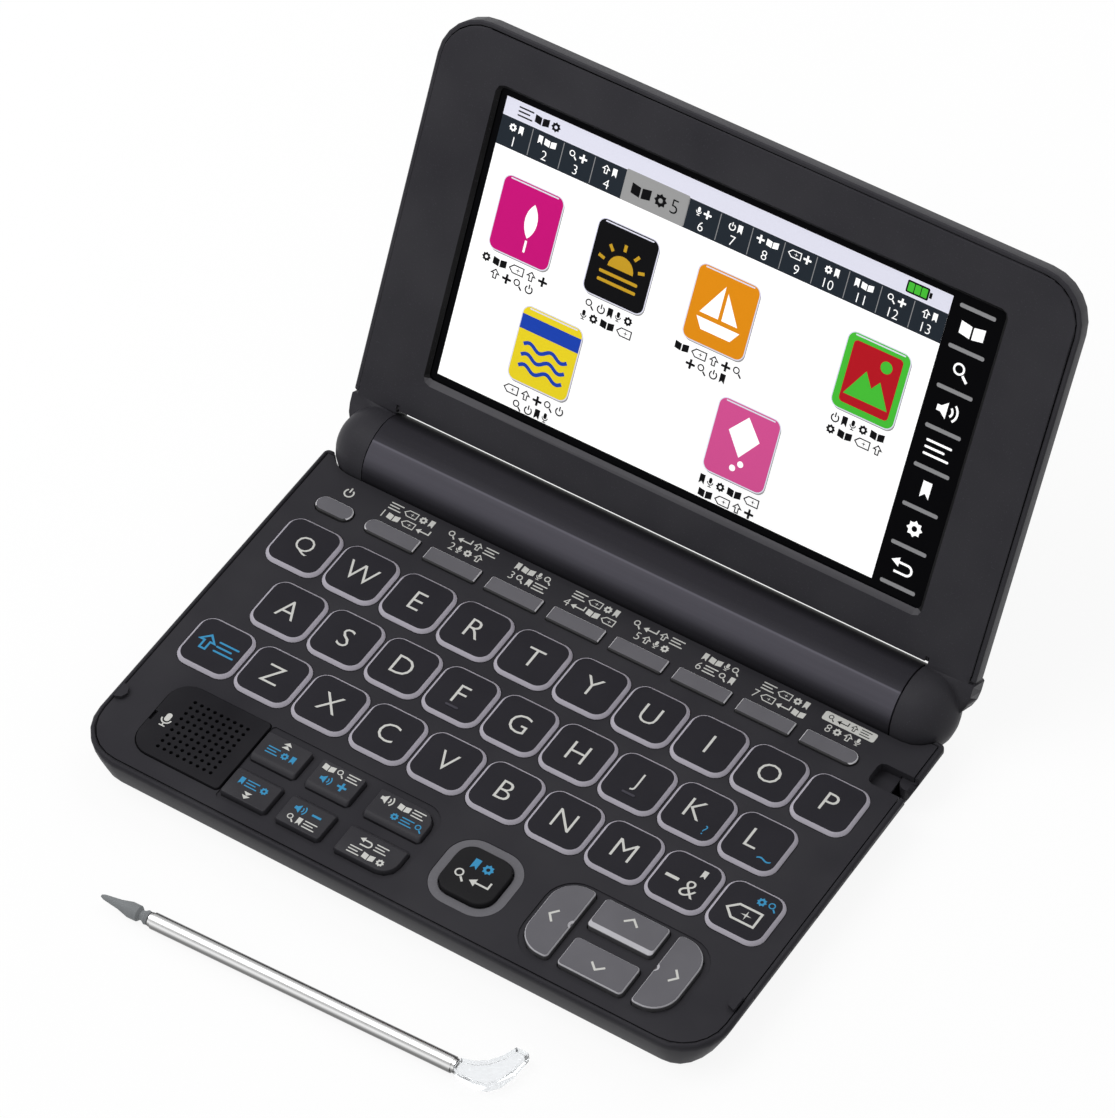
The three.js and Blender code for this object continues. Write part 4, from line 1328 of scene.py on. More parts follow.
@dataclass(frozen=True)
class Mark:
    """One printed sign, letter or number."""

    what: Sign | str
    x: float
    y: float
    height: float
    blue: bool = False

    def reach(self) -> Point:
        """How far it goes to the left and right of its place.

        Returns:
            The two distances, with those to the left below 0.
        """
        if isinstance(self.what, Sign):
            across = [x * self.height for line in self.what.value for x, _ in line]
            return min(across), max(across)
        half = NUMBER_WIDTH / 2 * self.height * len(self.what)
        return -half, half

    @classmethod
    def row(
        cls, signs: Sequence[Sign | str], x: float, y: float, height: float = 1.8,
        gap: float = 0.5, blue: bool = False,
    ) -> list["Mark"]:
        """Set signs side by side about a middle.

        Args:
            signs: What is printed.
            x: The row's middle.
            y: The row's place.
            height: Height of each sign.
            gap: Space between two signs.
            blue: Whether they take the second ink.

        Returns:
            The marks.
        """
        marks = [cls(sign, 0.0, y, height, blue) for sign in signs]
        widths = [high - low for low, high in (mark.reach() for mark in marks)]
        left = x - (sum(widths) + gap * (len(marks) - 1)) / 2
        placed = []
        for mark, width in zip(marks, widths):
            placed.append(replace(mark, x=left - mark.reach()[0]))
            left += width + gap
        return placed


@dataclass
class Printer:
    """Prints marks as thin raised shapes."""

    thickness: float = 0.03
    lift: float = 0.008

    def shape(self, mark: Mark) -> bpy.types.Mesh:
        """Cut one mark, centred on the origin.

        Args:
            mark: The mark.

        Returns:
            Its mesh, in millimetres.
        """
        if isinstance(mark.what, Sign):
            lines = [moved(line, 0, 0, mark.height) for line in mark.what.value]
            return Workshop.plate(lines, self.thickness)
        return Workshop.lettering(mark.what, mark.height, self.thickness)

    def print(
        self, name: str, marks: Sequence[Mark], origin: Matrix, body: str, slot: str,
        finishes: Sequence[Finish] = (Finish.PRINT, Finish.BLUE_PRINT),
    ) -> None:
        """Print marks on a surface.

        Args:
            name: First part of the pieces' names.
            marks: What is printed, with places on the surface.
            origin: The surface in the frame, with its scale.
            body: The body that carries the surface.
            slot: The slot of the surface.
            finishes: The plain ink and the second ink.
        """
        for blue, finish in zip((False, True), finishes):
            shapes = [
                (self.shape(mark), Matrix.Translation((mark.x, mark.y, self.lift)))
                for mark in marks if mark.blue == blue
            ]
            if shapes:
                suffix = "_second" if blue else ""
                merged = Workshop.merged(shapes)
                Workshop.piece(f"{name}{suffix}", merged, origin, finish, slot, body)


# The keyboard


@dataclass(frozen=True)
class CapShape:
    """How a key cap rises out of the deck. Its rings are (inset, height below the top)."""

    top: float
    rings: tuple[Point, ...]
    slope_front: float = 0.0
    slope_rear: float = 0.0
    foot: float = 6.75
    steps: int = 7

    def mesh(self, rect: Rect, radii: float | Sequence[float]) -> bpy.types.Mesh:
        """Build the cap over its rectangle.

        Args:
            rect: The rectangle.
            radii: Radii of its corners.

        Returns:
            The mesh.
        """
        levels = [(rect.outline(radii, steps=self.steps), self.foot)]
        highest = self.rings[-1][0]
        for inset, below in self.rings:
            share = inset / highest
            front = rect.front + self.slope_front * share
            sloped = Rect(rect.left, rect.right, front, rect.rear - self.slope_rear * share)
            outline = sloped.outline(radii, inset=inset, steps=self.steps)
            levels.append((outline, self.top - below))
        return Workshop.loft(levels)


@dataclass(frozen=True)
class KeyStyle:
    """What the keys of one kind share: their finish, slot and the height of their tops."""

    finish: Finish
    slot: str
    top: float

    def make(
        self, label: str, node: str, mesh: bpy.types.Mesh, middle: Point, marks: Sequence[Mark],
    ) -> None:
        """Stand a key in the deck and print on it.

        Args:
            label: What its pieces are called after "cap" and "print".
            node: The CAD key that it stands for, on whose body it rides.
            mesh: Its cap, in millimetres of the plan.
            middle: Where the marks are centred.
            marks: What is printed.
        """
        body = f"{node}_cap"
        Workshop.piece(f"cap_{label}", mesh, on_plan(), self.finish, self.slot, body, (node,))
        Printer().print(f"print_{label}", marks, on_plan(self.top, *middle), body, self.slot)


@dataclass
class LetterKeys:
    """Twenty-nine letter keys: dark tops on pale skirts."""

    pitch: float = 13.864
    width: float = 13.3
    depth: float = 13.05
    radius: float = 3.2
    rows: tuple[tuple[tuple[str, ...], float, float], ...] = (
        (tuple("qwertyuiop"), -62.41, 65.25),
        (tuple("asdfghjkl"), -55.5, 49.84),
        (("shift", *"zxcvbnm", "dash", "delete"), -62.5, 34.43),
    )
    cap: CapShape = CapShape(
        top=9.35, rings=((0.0, 0.76), (0.03, 0.7), (0.7, 0.045), (0.75, 0.01), (0.8, 0.0)),
    )
    letter_height: float = 4.6
    bar: Rect = Rect(-1.5, 1.5, -3.6, -3.1)
    bar_radius: float = 0.24
    bar_rings: tuple[Point, ...] = ((0.0, -0.1), (0.0, 0.14), (0.1, 0.2))
    bar_keys: tuple[str, ...] = ("f", "j")

    def row_rects(self, first: float, row_y: float, count: int) -> list[Rect]:
        """The keys' rectangles in one row."""
        middles = (first + place * self.pitch for place in range(count))
        return [Rect.about(x, row_y, self.width, self.depth) for x in middles]

    def marks(self, key: str) -> list[Mark]:
        """What is printed on a key.

        Args:
            key: The key's name.

        Returns:
            The marks, from the middle of its top.
        """
        special = {
            "shift": [
                Mark(Sign.SHIFT, -2.3, 0.0, 4.0, blue=True),
                Mark(Sign.LINES, 2.4, 0.0, 3.0, blue=True),
            ],
            "dash": [
                Mark(Sign.MINUS, -2.6, -0.4, 3.0), Mark("&", 1.9, -1.3, 4.0),
                Mark(Sign.MARK, 2.6, 3.1, 1.9),
            ],
            "delete": [
                Mark(Sign.ERASE, 0.0, -0.9, 4.4), Mark(Sign.GEAR, 1.6, 3.4, 2.1, blue=True),
                Mark(Sign.LENS, 4.0, 3.4, 2.0, blue=True),
            ],
            "k": [
                Mark("K", -0.5, 0.3, self.letter_height), Mark("?", 3.6, -3.1, 2.3, blue=True),
            ],
            "l": [
                Mark("L", -0.9, 0.3, self.letter_height), Mark("~", 3.3, -3.2, 0.8, blue=True),
            ],
        }
        return special.get(key) or [Mark(key.upper(), 0.0, 0.0, self.letter_height)]

    def build(self) -> None:
        """Make every key and its printing."""
        style = KeyStyle(Finish.LETTER_KEY, "letter_key_plastic", self.cap.top)
        for names, first, row_y in self.rows:
            for key, rect in zip(names, self.row_rects(first, row_y, len(names))):
                mesh = self.cap.mesh(rect, self.radius)
                if key in self.bar_keys:
                    mesh = self.with_bar(mesh, *rect.centre)
                style.make(key, f"key_{key}", mesh, rect.centre, self.marks(key))

    def with_bar(self, mesh: bpy.types.Mesh, x: float, y: float) -> bpy.types.Mesh:
        """Add the raised bar that the finger feels.

        Args:
            mesh: The cap.
            x: The key's middle.
            y: The key's middle, from the front.

        Returns:
            The cap with its bar.
        """
        bar = Workshop.loft([
            (self.bar.outline(self.bar_radius, inset=inset, steps=4), height)
            for inset, height in self.bar_rings
        ])
        on_top = Matrix.Translation((x, y, self.cap.top))
        return Workshop.merged([(mesh, Matrix.Identity(4)), (bar, on_top)])


@dataclass
class ControlKeys:
    """Six dark keys in two rows, each row sloping towards the other."""

    columns: tuple[Point, ...] = ((-41.1, -30.4), (-28.0, -17.6), (-14.1, -0.7))
    rows: tuple[tuple[str, float, float], ...] = (("up", 15.16, 22.43), ("down", 5.05, 12.43))
    top: float = 9.4
    rings: tuple[Point, ...] = ((0.0, 0.8), (0.03, 0.62), (0.14, 0.12), (0.2, 0.03), (0.27, 0.0))
    slope: float = 1.2
    corner: float = 0.6
    outer_corner: float = 3.5

    def marks(self) -> dict[tuple[str, int], list[Mark]]:
        """What is printed on each key, from the middle of its flat top.

        Returns:
            The marks by row and column.
        """
        line, book, lens, gear, mark = Sign.LINES, Sign.BOOK, Sign.LENS, Sign.GEAR, Sign.MARK
        return {
            ("up", 1): [
                Mark(Sign.DOUBLE_UP, 0.0, 1.7, 1.7),
                *Mark.row((line, gear, mark), 0.0, -0.8, blue=True),
            ],
            ("down", 1): [
                *Mark.row((mark, line, gear), 0.0, 1.2, blue=True),
                Mark(Sign.DOUBLE_DOWN, 0.0, -1.5, 1.7),
            ],
            ("up", 2): [
                *Mark.row((book, lens, line), 0.0, 1.5),
                Mark(Sign.SPEAKER, -1.7, -1.2, 2.0, blue=True),
                Mark(Sign.PLUS, 1.9, -1.2, 2.1, blue=True),
            ],
            ("down", 2): [
                Mark(Sign.SPEAKER, -1.7, 1.4, 2.0, blue=True),
                Mark(Sign.MINUS, 1.9, 1.4, 2.1, blue=True),
                *Mark.row((lens, mark, line), 0.0, -1.2),
            ],
            ("up", 3): [
                Mark(Sign.SPEAKER, -3.9, 1.0, 2.2), *Mark.row((book, line), 1.6, 1.0),
                *Mark.row((gear, line, lens), 2.2, -1.7, blue=True),
            ],
            ("down", 3): [
                Mark(Sign.BACK, -1.6, 1.4, 2.2), Mark(line, 1.8, 1.4, 1.8),
                *Mark.row((line, book, gear), 0.0, -1.3),
            ],
        }

    def build(self) -> None:
        """Make the keys and their printing."""
        marks = self.marks()
        style = KeyStyle(Finish.DARK_KEY, "dark_key_plastic", self.top)
        for row, front, rear in self.rows:
            rising = row == "up"
            front_slope, rear_slope = (self.slope, 0.0) if rising else (0.0, self.slope)
            cap = CapShape(self.top, self.rings, front_slope, rear_slope)
            for column, (left, right) in enumerate(self.columns, 1):
                radii = [self.corner] * 4
                if column == len(self.columns):
                    radii[2 if rising else 1] = self.outer_corner
                rect = Rect(left, right, front, rear)
                middle = Rect(left, right, front + front_slope, rear - rear_slope).centre
                style.make(
                    f"{row}_{column}", f"control_key_{row}_{column}", cap.mesh(rect, radii),
                    middle, marks[row, column],
                )


@dataclass
class EnterKey:
    """The square key in its grey ring."""

    rect: Rect = Rect(7.15, 19.55, 8.15, 20.27)
    radius: float = 3.5
    cap: CapShape = CapShape(
        top=9.5, rings=((0.0, 0.45), (0.04, 0.26), (0.12, 0.1), (0.25, 0.02), (0.34, 0.0)),
    )
    ring: float = 2.25
    ring_corner: float = 5.85
    ring_top: float = 8.46
    ring_gap: float = 0.35
    ring_thickness: float = 0.14
    ring_bevel: float = 0.03

    def build(self) -> None:
        """Make the key, its printing and the ring round it."""
        marks = [
            *Mark.row((Sign.MARK, Sign.GEAR), 0.3, 2.2, 2.5, 0.9, blue=True),
            *Mark.row((Sign.LENS, Sign.RETURN), 0.0, -1.4, 2.7, 0.8),
        ]
        style = KeyStyle(Finish.ENTER_KEY, "dark_key_plastic", self.cap.top)
        mesh = self.cap.mesh(self.rect, self.radius)
        style.make("enter", "enter_key", mesh, self.rect.centre, marks)
        edges = (
            self.rect.grown(self.ring).outline(self.ring_corner, steps=10),
            self.rect.grown(self.ring_gap).outline(self.radius + self.ring_gap, steps=10),
        )
        ring = Workshop.plate(edges, self.ring_thickness, self.ring_bevel)
        place = on_plan(self.ring_top - self.ring_thickness / 2)
        Workshop.piece("enter_ring", ring, place, Finish.GREY_KEY, "grey_key_plastic", "base")


@dataclass
class ArrowKeys:
    """Four grey keys; the outer two have a finger dimple."""

    left: Rect = Rect(28.1, 35.7, 4.96, 23.15)
    right: Rect = Rect(54.7, 62.3, 4.96, 23.15)
    up: Rect = Rect(37.9, 52.6, 15.57, 23.15)
    down: Rect = Rect(37.9, 52.6, 4.96, 12.44)
    top: float = 9.5
    rings: tuple[Point, ...] = ((0.0, 0.6), (0.02, 0.34), (0.24, 0.05), (0.3, 0.0))
    corner: float = 0.9
    round_corner: float = 5.6
    slope: float = 1.1
    sign_height: float = 1.9
    dimple_radius: float = 1.7
    dimple_depth: float = 0.45
    dimple_beyond: float = 0.3

    def build(self) -> None:
        """Make the keys and their printing."""
        small, large = self.corner, self.round_corner
        left_radii, right_radii = (large, small, small, large), (small, large, large, small)
        plain = (small,) * 4
        beyond = self.dimple_beyond
        keys = (
            ("left", self.left, left_radii, Sign.LEFT, (-0.6, 0.0), self.left.right + beyond),
            ("right", self.right, right_radii, Sign.RIGHT, (0.6, 0.0), self.right.left - beyond),
            ("up", self.up, plain, Sign.UP, (0.0, 1.2), None),
            ("down", self.down, plain, Sign.DOWN, (0.0, -0.6), None),
        )
        style = KeyStyle(Finish.ARROW_KEY, "grey_key_plastic", self.top)
        for word, rect, radii, sign, (dx, dy), dimple in keys:
            slope = self.slope if word == "up" else 0.0
            mesh = CapShape(self.top, self.rings, slope, steps=10).mesh(rect, radii)
            x, y = rect.centre
            if dimple is not None:
                mesh = self.dimpled(mesh, dimple, y)
            marks = [Mark(sign, 0.0, 0.0, self.sign_height)]
            style.make(word, f"arrow_key_{word}", mesh, (x + dx, y + dy), marks)

    def dimpled(self, mesh: bpy.types.Mesh, x: float, y: float) -> bpy.types.Mesh:
        """Press a ball into a cap and give the new mesh.

        Args:
            mesh: The cap.
            x: The dimple's middle.
            y: The dimple's middle, from the front.

        Returns:
            The cap with its dimple.
        """
        shape = bmesh.new()
        bmesh.ops.create_uvsphere(shape, u_segments=32, v_segments=20, radius=self.dimple_radius)
        for face in shape.faces:
            face.smooth = True
        cap = Workshop.linked("cap_block", mesh)
        ball = Workshop.linked("ball", Workshop.from_shape(shape))
        ball.location = (x, y, self.top + self.dimple_radius - self.dimple_depth)
        press = cap.modifiers.new("press", "BOOLEAN")
        press.operation = "DIFFERENCE"
        press.solver = "EXACT"
        press.object = ball
        result = Workshop.evaluated(cap)
        bpy.data.objects.remove(ball)
        return result


@dataclass
class FunctionRow:
    """The power key, the eight function keys and the signs behind them."""

    count: int = 8
    left: float = -55.42
    pitch: float = 14.897
    width: float = 12.43
    front: float = 75.26
    rear: float = 79.0
    power: Rect = Rect(-67.34, -58.72, 74.96, 78.9)
    power_radius: float = 1.85
    power_sign: Point = (-0.5, 2.6)
    end_radius: float = 1.8
    corner: float = 0.4
    cap: CapShape = CapShape(top=9.2, rings=((0.0, 0.3), (0.24, 0.05), (0.28, 0.0)), steps=5)
    deck_top: float = 8.5
    sign_y: float = 82.75
    sign_right: float = 0.4
    sign_height: float = 1.9
    upper_line: float = 1.25
    lower_line: float = -1.3
    box: Rect = Rect(-6.0, 6.0, 0.1, 2.4)
    box_radius: float = 0.5
    box_thickness: float = 0.02
    box_lift: float = 0.005
    box_share: float = 0.8
    signs: tuple[Sign, ...] = (
        Sign.LINES, Sign.GEAR, Sign.BOOK, Sign.LENS, Sign.SHIFT, Sign.ERASE, Sign.MARK,
        Sign.MICROPHONE, Sign.RETURN,
    )

    def rects(self) -> list[Rect]:
        """The function keys' rectangles."""
        lefts = (self.left + place * self.pitch for place in range(self.count))
        return [Rect(left, left + self.width, self.front, self.rear) for left in lefts]

    def labels(self, place: int, x: float) -> list[Mark]:
        """The two lines of signs behind a key; the last key's upper line is dark.

        Args:
            place: The key's place.
            x: The middle of the signs.

        Returns:
            The marks.
        """
        last = place == self.count - 1
        upper = [self.signs[(place * 3 + i * 5) % len(self.signs)] for i in range(4)]
        lower = [self.signs[(place * 5 + i * 3 + 2) % len(self.signs)] for i in range(3)]
        height = self.sign_height * (self.box_share if last else 1.0)
        return [
            *Mark.row(upper, x, self.sign_y + self.upper_line, height, blue=last),
            *Mark.row(
                (str(place + 1), *lower), x, self.sign_y + self.lower_line, self.sign_height,
            ),
        ]

    def build(self) -> None:
        """Make the keys and the printing on the deck."""
        caps = []
        marks = []
        for place, rect in enumerate(self.rects()):
            first = self.end_radius if place == 0 else self.corner
            last = self.end_radius if place == self.count - 1 else self.corner
            caps.append((self.cap.mesh(rect, (first, last, last, first)), Matrix.Identity(4)))
            x = rect.centre[0] + self.sign_right
            marks += self.labels(place, x)
        plate = Workshop.plate([self.box.outline(self.box_radius)], self.box_thickness)
        box_place = on_plan(self.deck_top + self.box_lift, x, self.sign_y)
        Workshop.piece("sign_box", plate, box_place, Finish.PRINT, "case_plastic", "base")
        slot = "grey_key_plastic"
        Workshop.piece(
            "function_caps", Workshop.merged(caps), on_plan(), Finish.FUNCTION_KEY, slot,
            "function_key_strip_cap", ("function_key_strip",),
        )
        Workshop.piece(
            "cap_power", self.cap.mesh(self.power, self.power_radius), on_plan(),
            Finish.FUNCTION_KEY, slot, "power_key_cap", ("power_key",),
        )
        ahead, height = self.power_sign
        marks.append(Mark(Sign.POWER, self.power.centre[0], self.sign_y + ahead, height))
        Printer().print(
            "print_function_row", marks, on_plan(self.deck_top), "base", "case_plastic",
            (Finish.PRINT, Finish.SCREEN_BLACK),
        )


@dataclass
class KeySurround:
    """Thin plates between the keys, level with the deck, with a fine gap round each key."""

    top: float = 8.494
    thickness: float = 0.3
    gap: float = 0.14
    margin: float = 0.75

    def build(self) -> None:
        """Make a plate for each row."""
        letters, functions = LetterKeys(), FunctionRow()
        for number, (names, first, row_y) in enumerate(letters.rows, 1):
            rects = letters.row_rects(first, row_y, len(names))
            self.plate(f"surround_{number}", rects, letters.radius, letters.radius)
        self.plate(
            "surround_functions", functions.rects(), functions.corner, functions.end_radius,
        )

    def plate(self, name: str, rects: Sequence[Rect], radius: float, end_radius: float) -> None:
        """Cut one plate round a row of keys.

        Args:
            name: The plate's name.
            rects: The keys.
            radius: Radius of the keys' corners.
            end_radius: Radius of the corners at the row's two ends.
        """
        row = Rect(rects[0].left, rects[-1].right, rects[0].front, rects[0].rear)
        outlines = [row.grown(self.margin).outline(end_radius + self.margin, steps=8)]
        for place, rect in enumerate(rects):
            left = end_radius if place == 0 else radius
            right = end_radius if place == len(rects) - 1 else radius
            radii = [corner + self.gap for corner in (left, right, right, left)]
            outlines.append(rect.grown(self.gap).outline(radii, steps=8))
        mesh = Workshop.plate(outlines, self.thickness)
        place = on_plan(self.top - self.thickness / 2)
        Workshop.piece(name, mesh, place, Finish.CASE, "case_plastic", "base")


@dataclass
class Grille:
    """The loudspeaker panel with its round holes and the microphone sign."""

    rect: Rect = Rect(-63.7, -41.8, 5.33, 24.2)
    outer_radius: float = 4.6
    inner_radius: float = 0.8
    top: float = 8.9
    bottom: float = 7.85
    bevel: float = 0.06
    holes: int = 9
    pitch: float = 1.6
    hole_radius: float = 0.4
    middle: Point = (-51.6, 14.37)
    slot: Rect = Rect(-64.4, -63.0, 12.65, 15.15)
    microphone: tuple[float, float, float] = (-60.4, 14.2, 3.5)

    def outline(self) -> Outline:
        """The panel's edge, with the slot cut in at the left.

        Returns:
            The outline.
        """
        outer, inner = self.outer_radius, self.inner_radius
        edge, end = self.rect.left, self.slot.right
        front, rear = self.slot.front, self.slot.rear
        notch = [(edge, rear), (end, rear), (end, front), (edge, front)]
        return self.rect.outline((outer, inner, inner, outer), steps=10) + notch

    def build(self) -> None:
        """Make the panel and print its sign."""
        x, y = self.middle
        reach = [(i - (self.holes - 1) / 2) * self.pitch for i in range(self.holes)]
        holes = [circle(x + dx, y + dy, self.hole_radius, 14) for dx in reach for dy in reach]
        panel = Workshop.plate([self.outline(), *holes], self.top - self.bottom, self.bevel)
        Workshop.piece(
            "grille", panel, on_plan((self.top + self.bottom) / 2), Finish.PANEL, "panel_plastic",
            "base", ("speaker_panel",),
        )
        marks = [Mark(Sign.MICROPHONE, *self.microphone)]
        Printer().print("print_microphone", marks, on_plan(self.top), "base", "panel_plastic")


# The display picture


@dataclass
class Artist:
    """Collects flat shapes by finish and lays them on the glass."""

    glass: float
    thickness: float = 0.012
    lowest: float = 1.5
    layers: dict[tuple[Finish, int], list[Outline]] = field(default_factory=dict)

    def add(self, finish: Finish, layer: int, *outlines: Outline) -> None:
        """Add shapes of one finish at one layer; higher layers lie on lower ones."""
        self.layers.setdefault((finish, layer), []).extend(outlines)

    def build(self) -> None:
        """Make one piece for each finish and layer."""
        for finish, layer in sorted(self.layers, key=lambda item: (item[1], item[0].name)):
            mesh = Workshop.plate(self.layers[finish, layer], self.thickness)
            place = on_lid(self.glass + self.thickness * (layer + self.lowest))
            name = f"picture_{finish.name.lower()}_{layer}"
            Workshop.piece(name, mesh, place, finish, "screen_glass", "lid")


class Picture(Enum):
    """Plain pictures for the book covers, each with its outlines about the middle."""

    LEAF = [
        arc(-3.2, 0.6, 5.6, -42, 42) + arc(5.12, 0.6, 5.6, 138, 222)[1:-1],
        Rect(0.7, 1.2, -6.2, -3.6).outline(0.1, steps=1),
    ]
    SUNRISE = [
        arc(0, -1, 3.0, 0, 180),
        *[
            ribbon([arc(0, -1, reach, angle, angle, 1)[0] for reach in (4.1, 5.6)], 0.7)
            for angle in (15, 52, 90, 128, 165)
        ],
        *[Rect(-4.5, 4.5, -y - 0.35, -y + 0.35).outline(0.2, steps=2) for y in (2.6, 4.4)],
    ]
    SAIL = [
        [(-0.3, 5.4), (-0.3, -1.8), (-4.6, -1.8)], [(0.5, 4.2), (4.2, -1.8), (0.5, -1.8)],
        [(-5.0, -2.8), (-3.4, -5.2), (3.4, -5.2), (5.0, -2.8)],
    ]
    PEAK = [
        Rect(-5.6, 5.6, -6.7, 6.7).outline(0.9),
        [(-5.0, -4.8), (-1.4, 1.4), (0.5, -1.6), (2.0, 0.4), (5.0, -4.8)],
        circle(2.4, 3.8, 1.3),
    ]
    WAVE = [
        Rect(-7.0, 7.0, 3.0, 6.2).outline(0.05, steps=1),
        *[
            ribbon(
                [(5.2 * (i / 12 - 1), y + 0.6 * math.sin(math.pi * i / 6)) for i in range(25)],
                0.8,
            )
            for y in (-4.8, -2.4, 0.0)
        ],
    ]
    KITE = [
        [(0.0, 6.2), (3.6, 2.0), (0.0, -2.8), (-3.6, 2.0)],
        circle(0.8, -4.0, 0.7, 12), circle(-0.7, -5.4, 0.7, 12),
    ]


@dataclass(frozen=True)
class Cover:
    """A book cover: its middle on the lid, its ground, its picture and the picture's ink."""

    x: float
    y: float
    ground: Finish
    picture: Picture
    ink: Finish
    width: float = 14.0
    height: float = 16.2
    corner: float = 1.7
    rim: float = 0.25
    shadow_rim: float = 0.1
    shadow_shift: Point = (0.3, -0.35)
    shine_inset: float = 1.3
    shine_below: Point = (0.55, 0.25)
    shine_radius: float = 0.14

    def draw(self, artist: Artist) -> None:
        """Draw the cover with its rim, shadow and shine.

        Args:
            artist: What collects the shapes.
        """
        rect = Rect.about(self.x, self.y, self.width, self.height)
        shadow = rect.grown(self.shadow_rim).outline(self.corner + self.shadow_rim)
        inset, (low, high) = self.shine_inset, self.shine_below
        shine = Rect(rect.left + inset, rect.right - inset, rect.rear - low, rect.rear - high)
        picture = [moved(line, self.x, self.y) for line in self.picture.value]
        artist.add(Finish.SCREEN_TAB, 0, moved(shadow, *self.shadow_shift))
        artist.add(Finish.SCREEN_BAR, 1, rect.grown(self.rim).outline(self.corner + self.rim))
        artist.add(self.ground, 2, rect.outline(self.corner))
        artist.add(self.ink, 3, *picture)
        artist.add(Finish.SCREEN_BAR, 3, shine.outline(self.shine_radius, steps=2))


@dataclass
class Display:
    """A menu picture: title bar, numbered tabs, six book covers and a touch strip at the side."""

    glass: float = -2.25
    screen: Rect = Rect(-56.8, 46.55, 20.3, 82.65)
    title_height: float = 3.95
    title_signs: Point = (-48.6, 2.2)
    battery_left: float = 36.6
    battery_size: Point = (5.0, 2.6)
    battery_corner: float = 0.3
    battery_cap: Point = (0.6, 1.2)
    battery_gap: float = 0.1
    cells: int = 3
    cells_left: float = 0.35
    cell_size: Point = (1.3, 1.9)
    cell_corner: float = 0.1
    cell_pitch: float = 1.48
    tabs: int = 13
    chosen_tab: int = 4
    chosen_height: float = 3.0
    chosen_gap: float = 0.8
    tab_height: float = 6.4
    tab_line: float = 0.18
    tab_gap: float = 0.3
    tab_signs_up: float = 1.35
    tab_number_down: float = 1.5
    tab_number_height: float = 2.0
    strip_left: float = 48.3
    strip_right: float = 56.3
    strip_bars: tuple[float, ...] = (81.6, 72.95, 64.25, 55.55, 46.95, 38.25, 29.65, 21.0)
    bar_height: float = 0.85
    bar_radius: float = 0.35
    strip_sign: float = 3.6
    caption_drop: float = 2.3
    caption_pitch: float = 2.7
    caption_height: float = 2.1
    caption_gap: float = 0.6
    caption_counts: tuple[int, ...] = (5, 4)
    ink_thickness: float = 0.012
    ink_lift: float = 0.054
    strip_lift: float = 0.006
    words: tuple[Sign, ...] = (
        Sign.GEAR, Sign.MARK, Sign.LENS, Sign.SHIFT, Sign.BOOK, Sign.MICROPHONE, Sign.POWER,
        Sign.PLUS, Sign.ERASE,
    )
    covers: tuple[Cover, ...] = (
        Cover(-45.8, 59.1, Finish.SCREEN_PINK, Picture.LEAF, Finish.SCREEN_WHITE),
        Cover(-23.2, 59.1, Finish.SCREEN_BLACK, Picture.SUNRISE, Finish.SCREEN_GOLD),
        Cover(0.35, 59.1, Finish.SCREEN_ORANGE, Picture.SAIL, Finish.SCREEN_WHITE),
        Cover(34.9, 59.1, Finish.SCREEN_GREEN, Picture.PEAK, Finish.SCREEN_RED),
        Cover(-34.5, 34.6, Finish.SCREEN_YELLOW, Picture.WAVE, Finish.SCREEN_BLUE),
        Cover(12.2, 34.6, Finish.SCREEN_ROSE, Picture.KITE, Finish.SCREEN_WHITE),
    )

    def build(self) -> None:
        """Draw the picture."""
        artist = Artist(self.glass)
        artist.add(Finish.SCREEN_WHITE, -1, self.screen.box())
        self.title(artist)
        self.tab_row(artist)
        for cover in self.covers:
            cover.draw(artist)
        for y in self.strip_bars:
            half = self.bar_height / 2
            bar = Rect(self.strip_left, self.strip_right, y - half, y + half)
            artist.add(Finish.SCREEN_GREY, -1, bar.outline(self.bar_radius, steps=3))
        artist.build()
        self.signs()

    def title(self, artist: Artist) -> None:
        """Draw the title bar with its battery.

        Args:
            artist: What collects the shapes.
        """
        rear = self.screen.rear
        bar = Rect(self.screen.left, self.screen.right, rear - self.title_height, rear)
        y = bar.centre[1]
        wide, deep = self.battery_size
        battery = Rect.about(self.battery_left + wide / 2, y, wide, deep)
        wide, deep = self.battery_cap
        cap = Rect.about(battery.right + self.battery_gap + wide / 2, y, wide, deep)
        case = battery.outline(self.battery_corner, steps=2)
        artist.add(Finish.SCREEN_BAR, 1, bar.box())
        artist.add(Finish.SCREEN_BLACK, 2, case, cap.box())
        wide, deep = self.cell_size
        for place in range(self.cells):
            x = battery.left + self.cells_left + place * self.cell_pitch + wide / 2
            cell = Rect.about(x, y, wide, deep).outline(self.cell_corner, steps=1)
            artist.add(Finish.SCREEN_GREEN, 3, cell)

    def tab_spans(self) -> list[Point]:
        """The left and right edge of each tab; the chosen one is twice as wide.

        Returns:
            The edges in order.
        """
        width = (self.screen.right - self.screen.left) / (self.tabs + 1)
        spans = []
        left = self.screen.left
        for tab in range(self.tabs):
            right = left + width * (2 if tab == self.chosen_tab else 1)
            spans.append((left, right))
            left = right
        return spans

    def tab_row(self, artist: Artist) -> None:
        """Draw the row of tabs with the chosen one lighter.

        Args:
            artist: What collects the shapes.
        """
        rear = self.screen.rear - self.title_height
        front = rear - self.tab_height
        whole = Rect(self.screen.left, self.screen.right, front, rear)
        artist.add(Finish.SCREEN_SLATE, 1, whole.box())
        for tab, (left, right) in enumerate(self.tab_spans()):
            if tab == self.chosen_tab:
                chosen = Rect(left, right, front, rear + self.tab_gap)
                artist.add(Finish.SCREEN_TAB, 2, chosen.outline(self.tab_gap, steps=2))
            elif tab:
                middle, depth = (front + rear) / 2, self.tab_height - 2 * self.tab_gap
                line = Rect.about(left, middle, self.tab_line, depth)
                artist.add(Finish.SCREEN_GREY, 2, line.box())

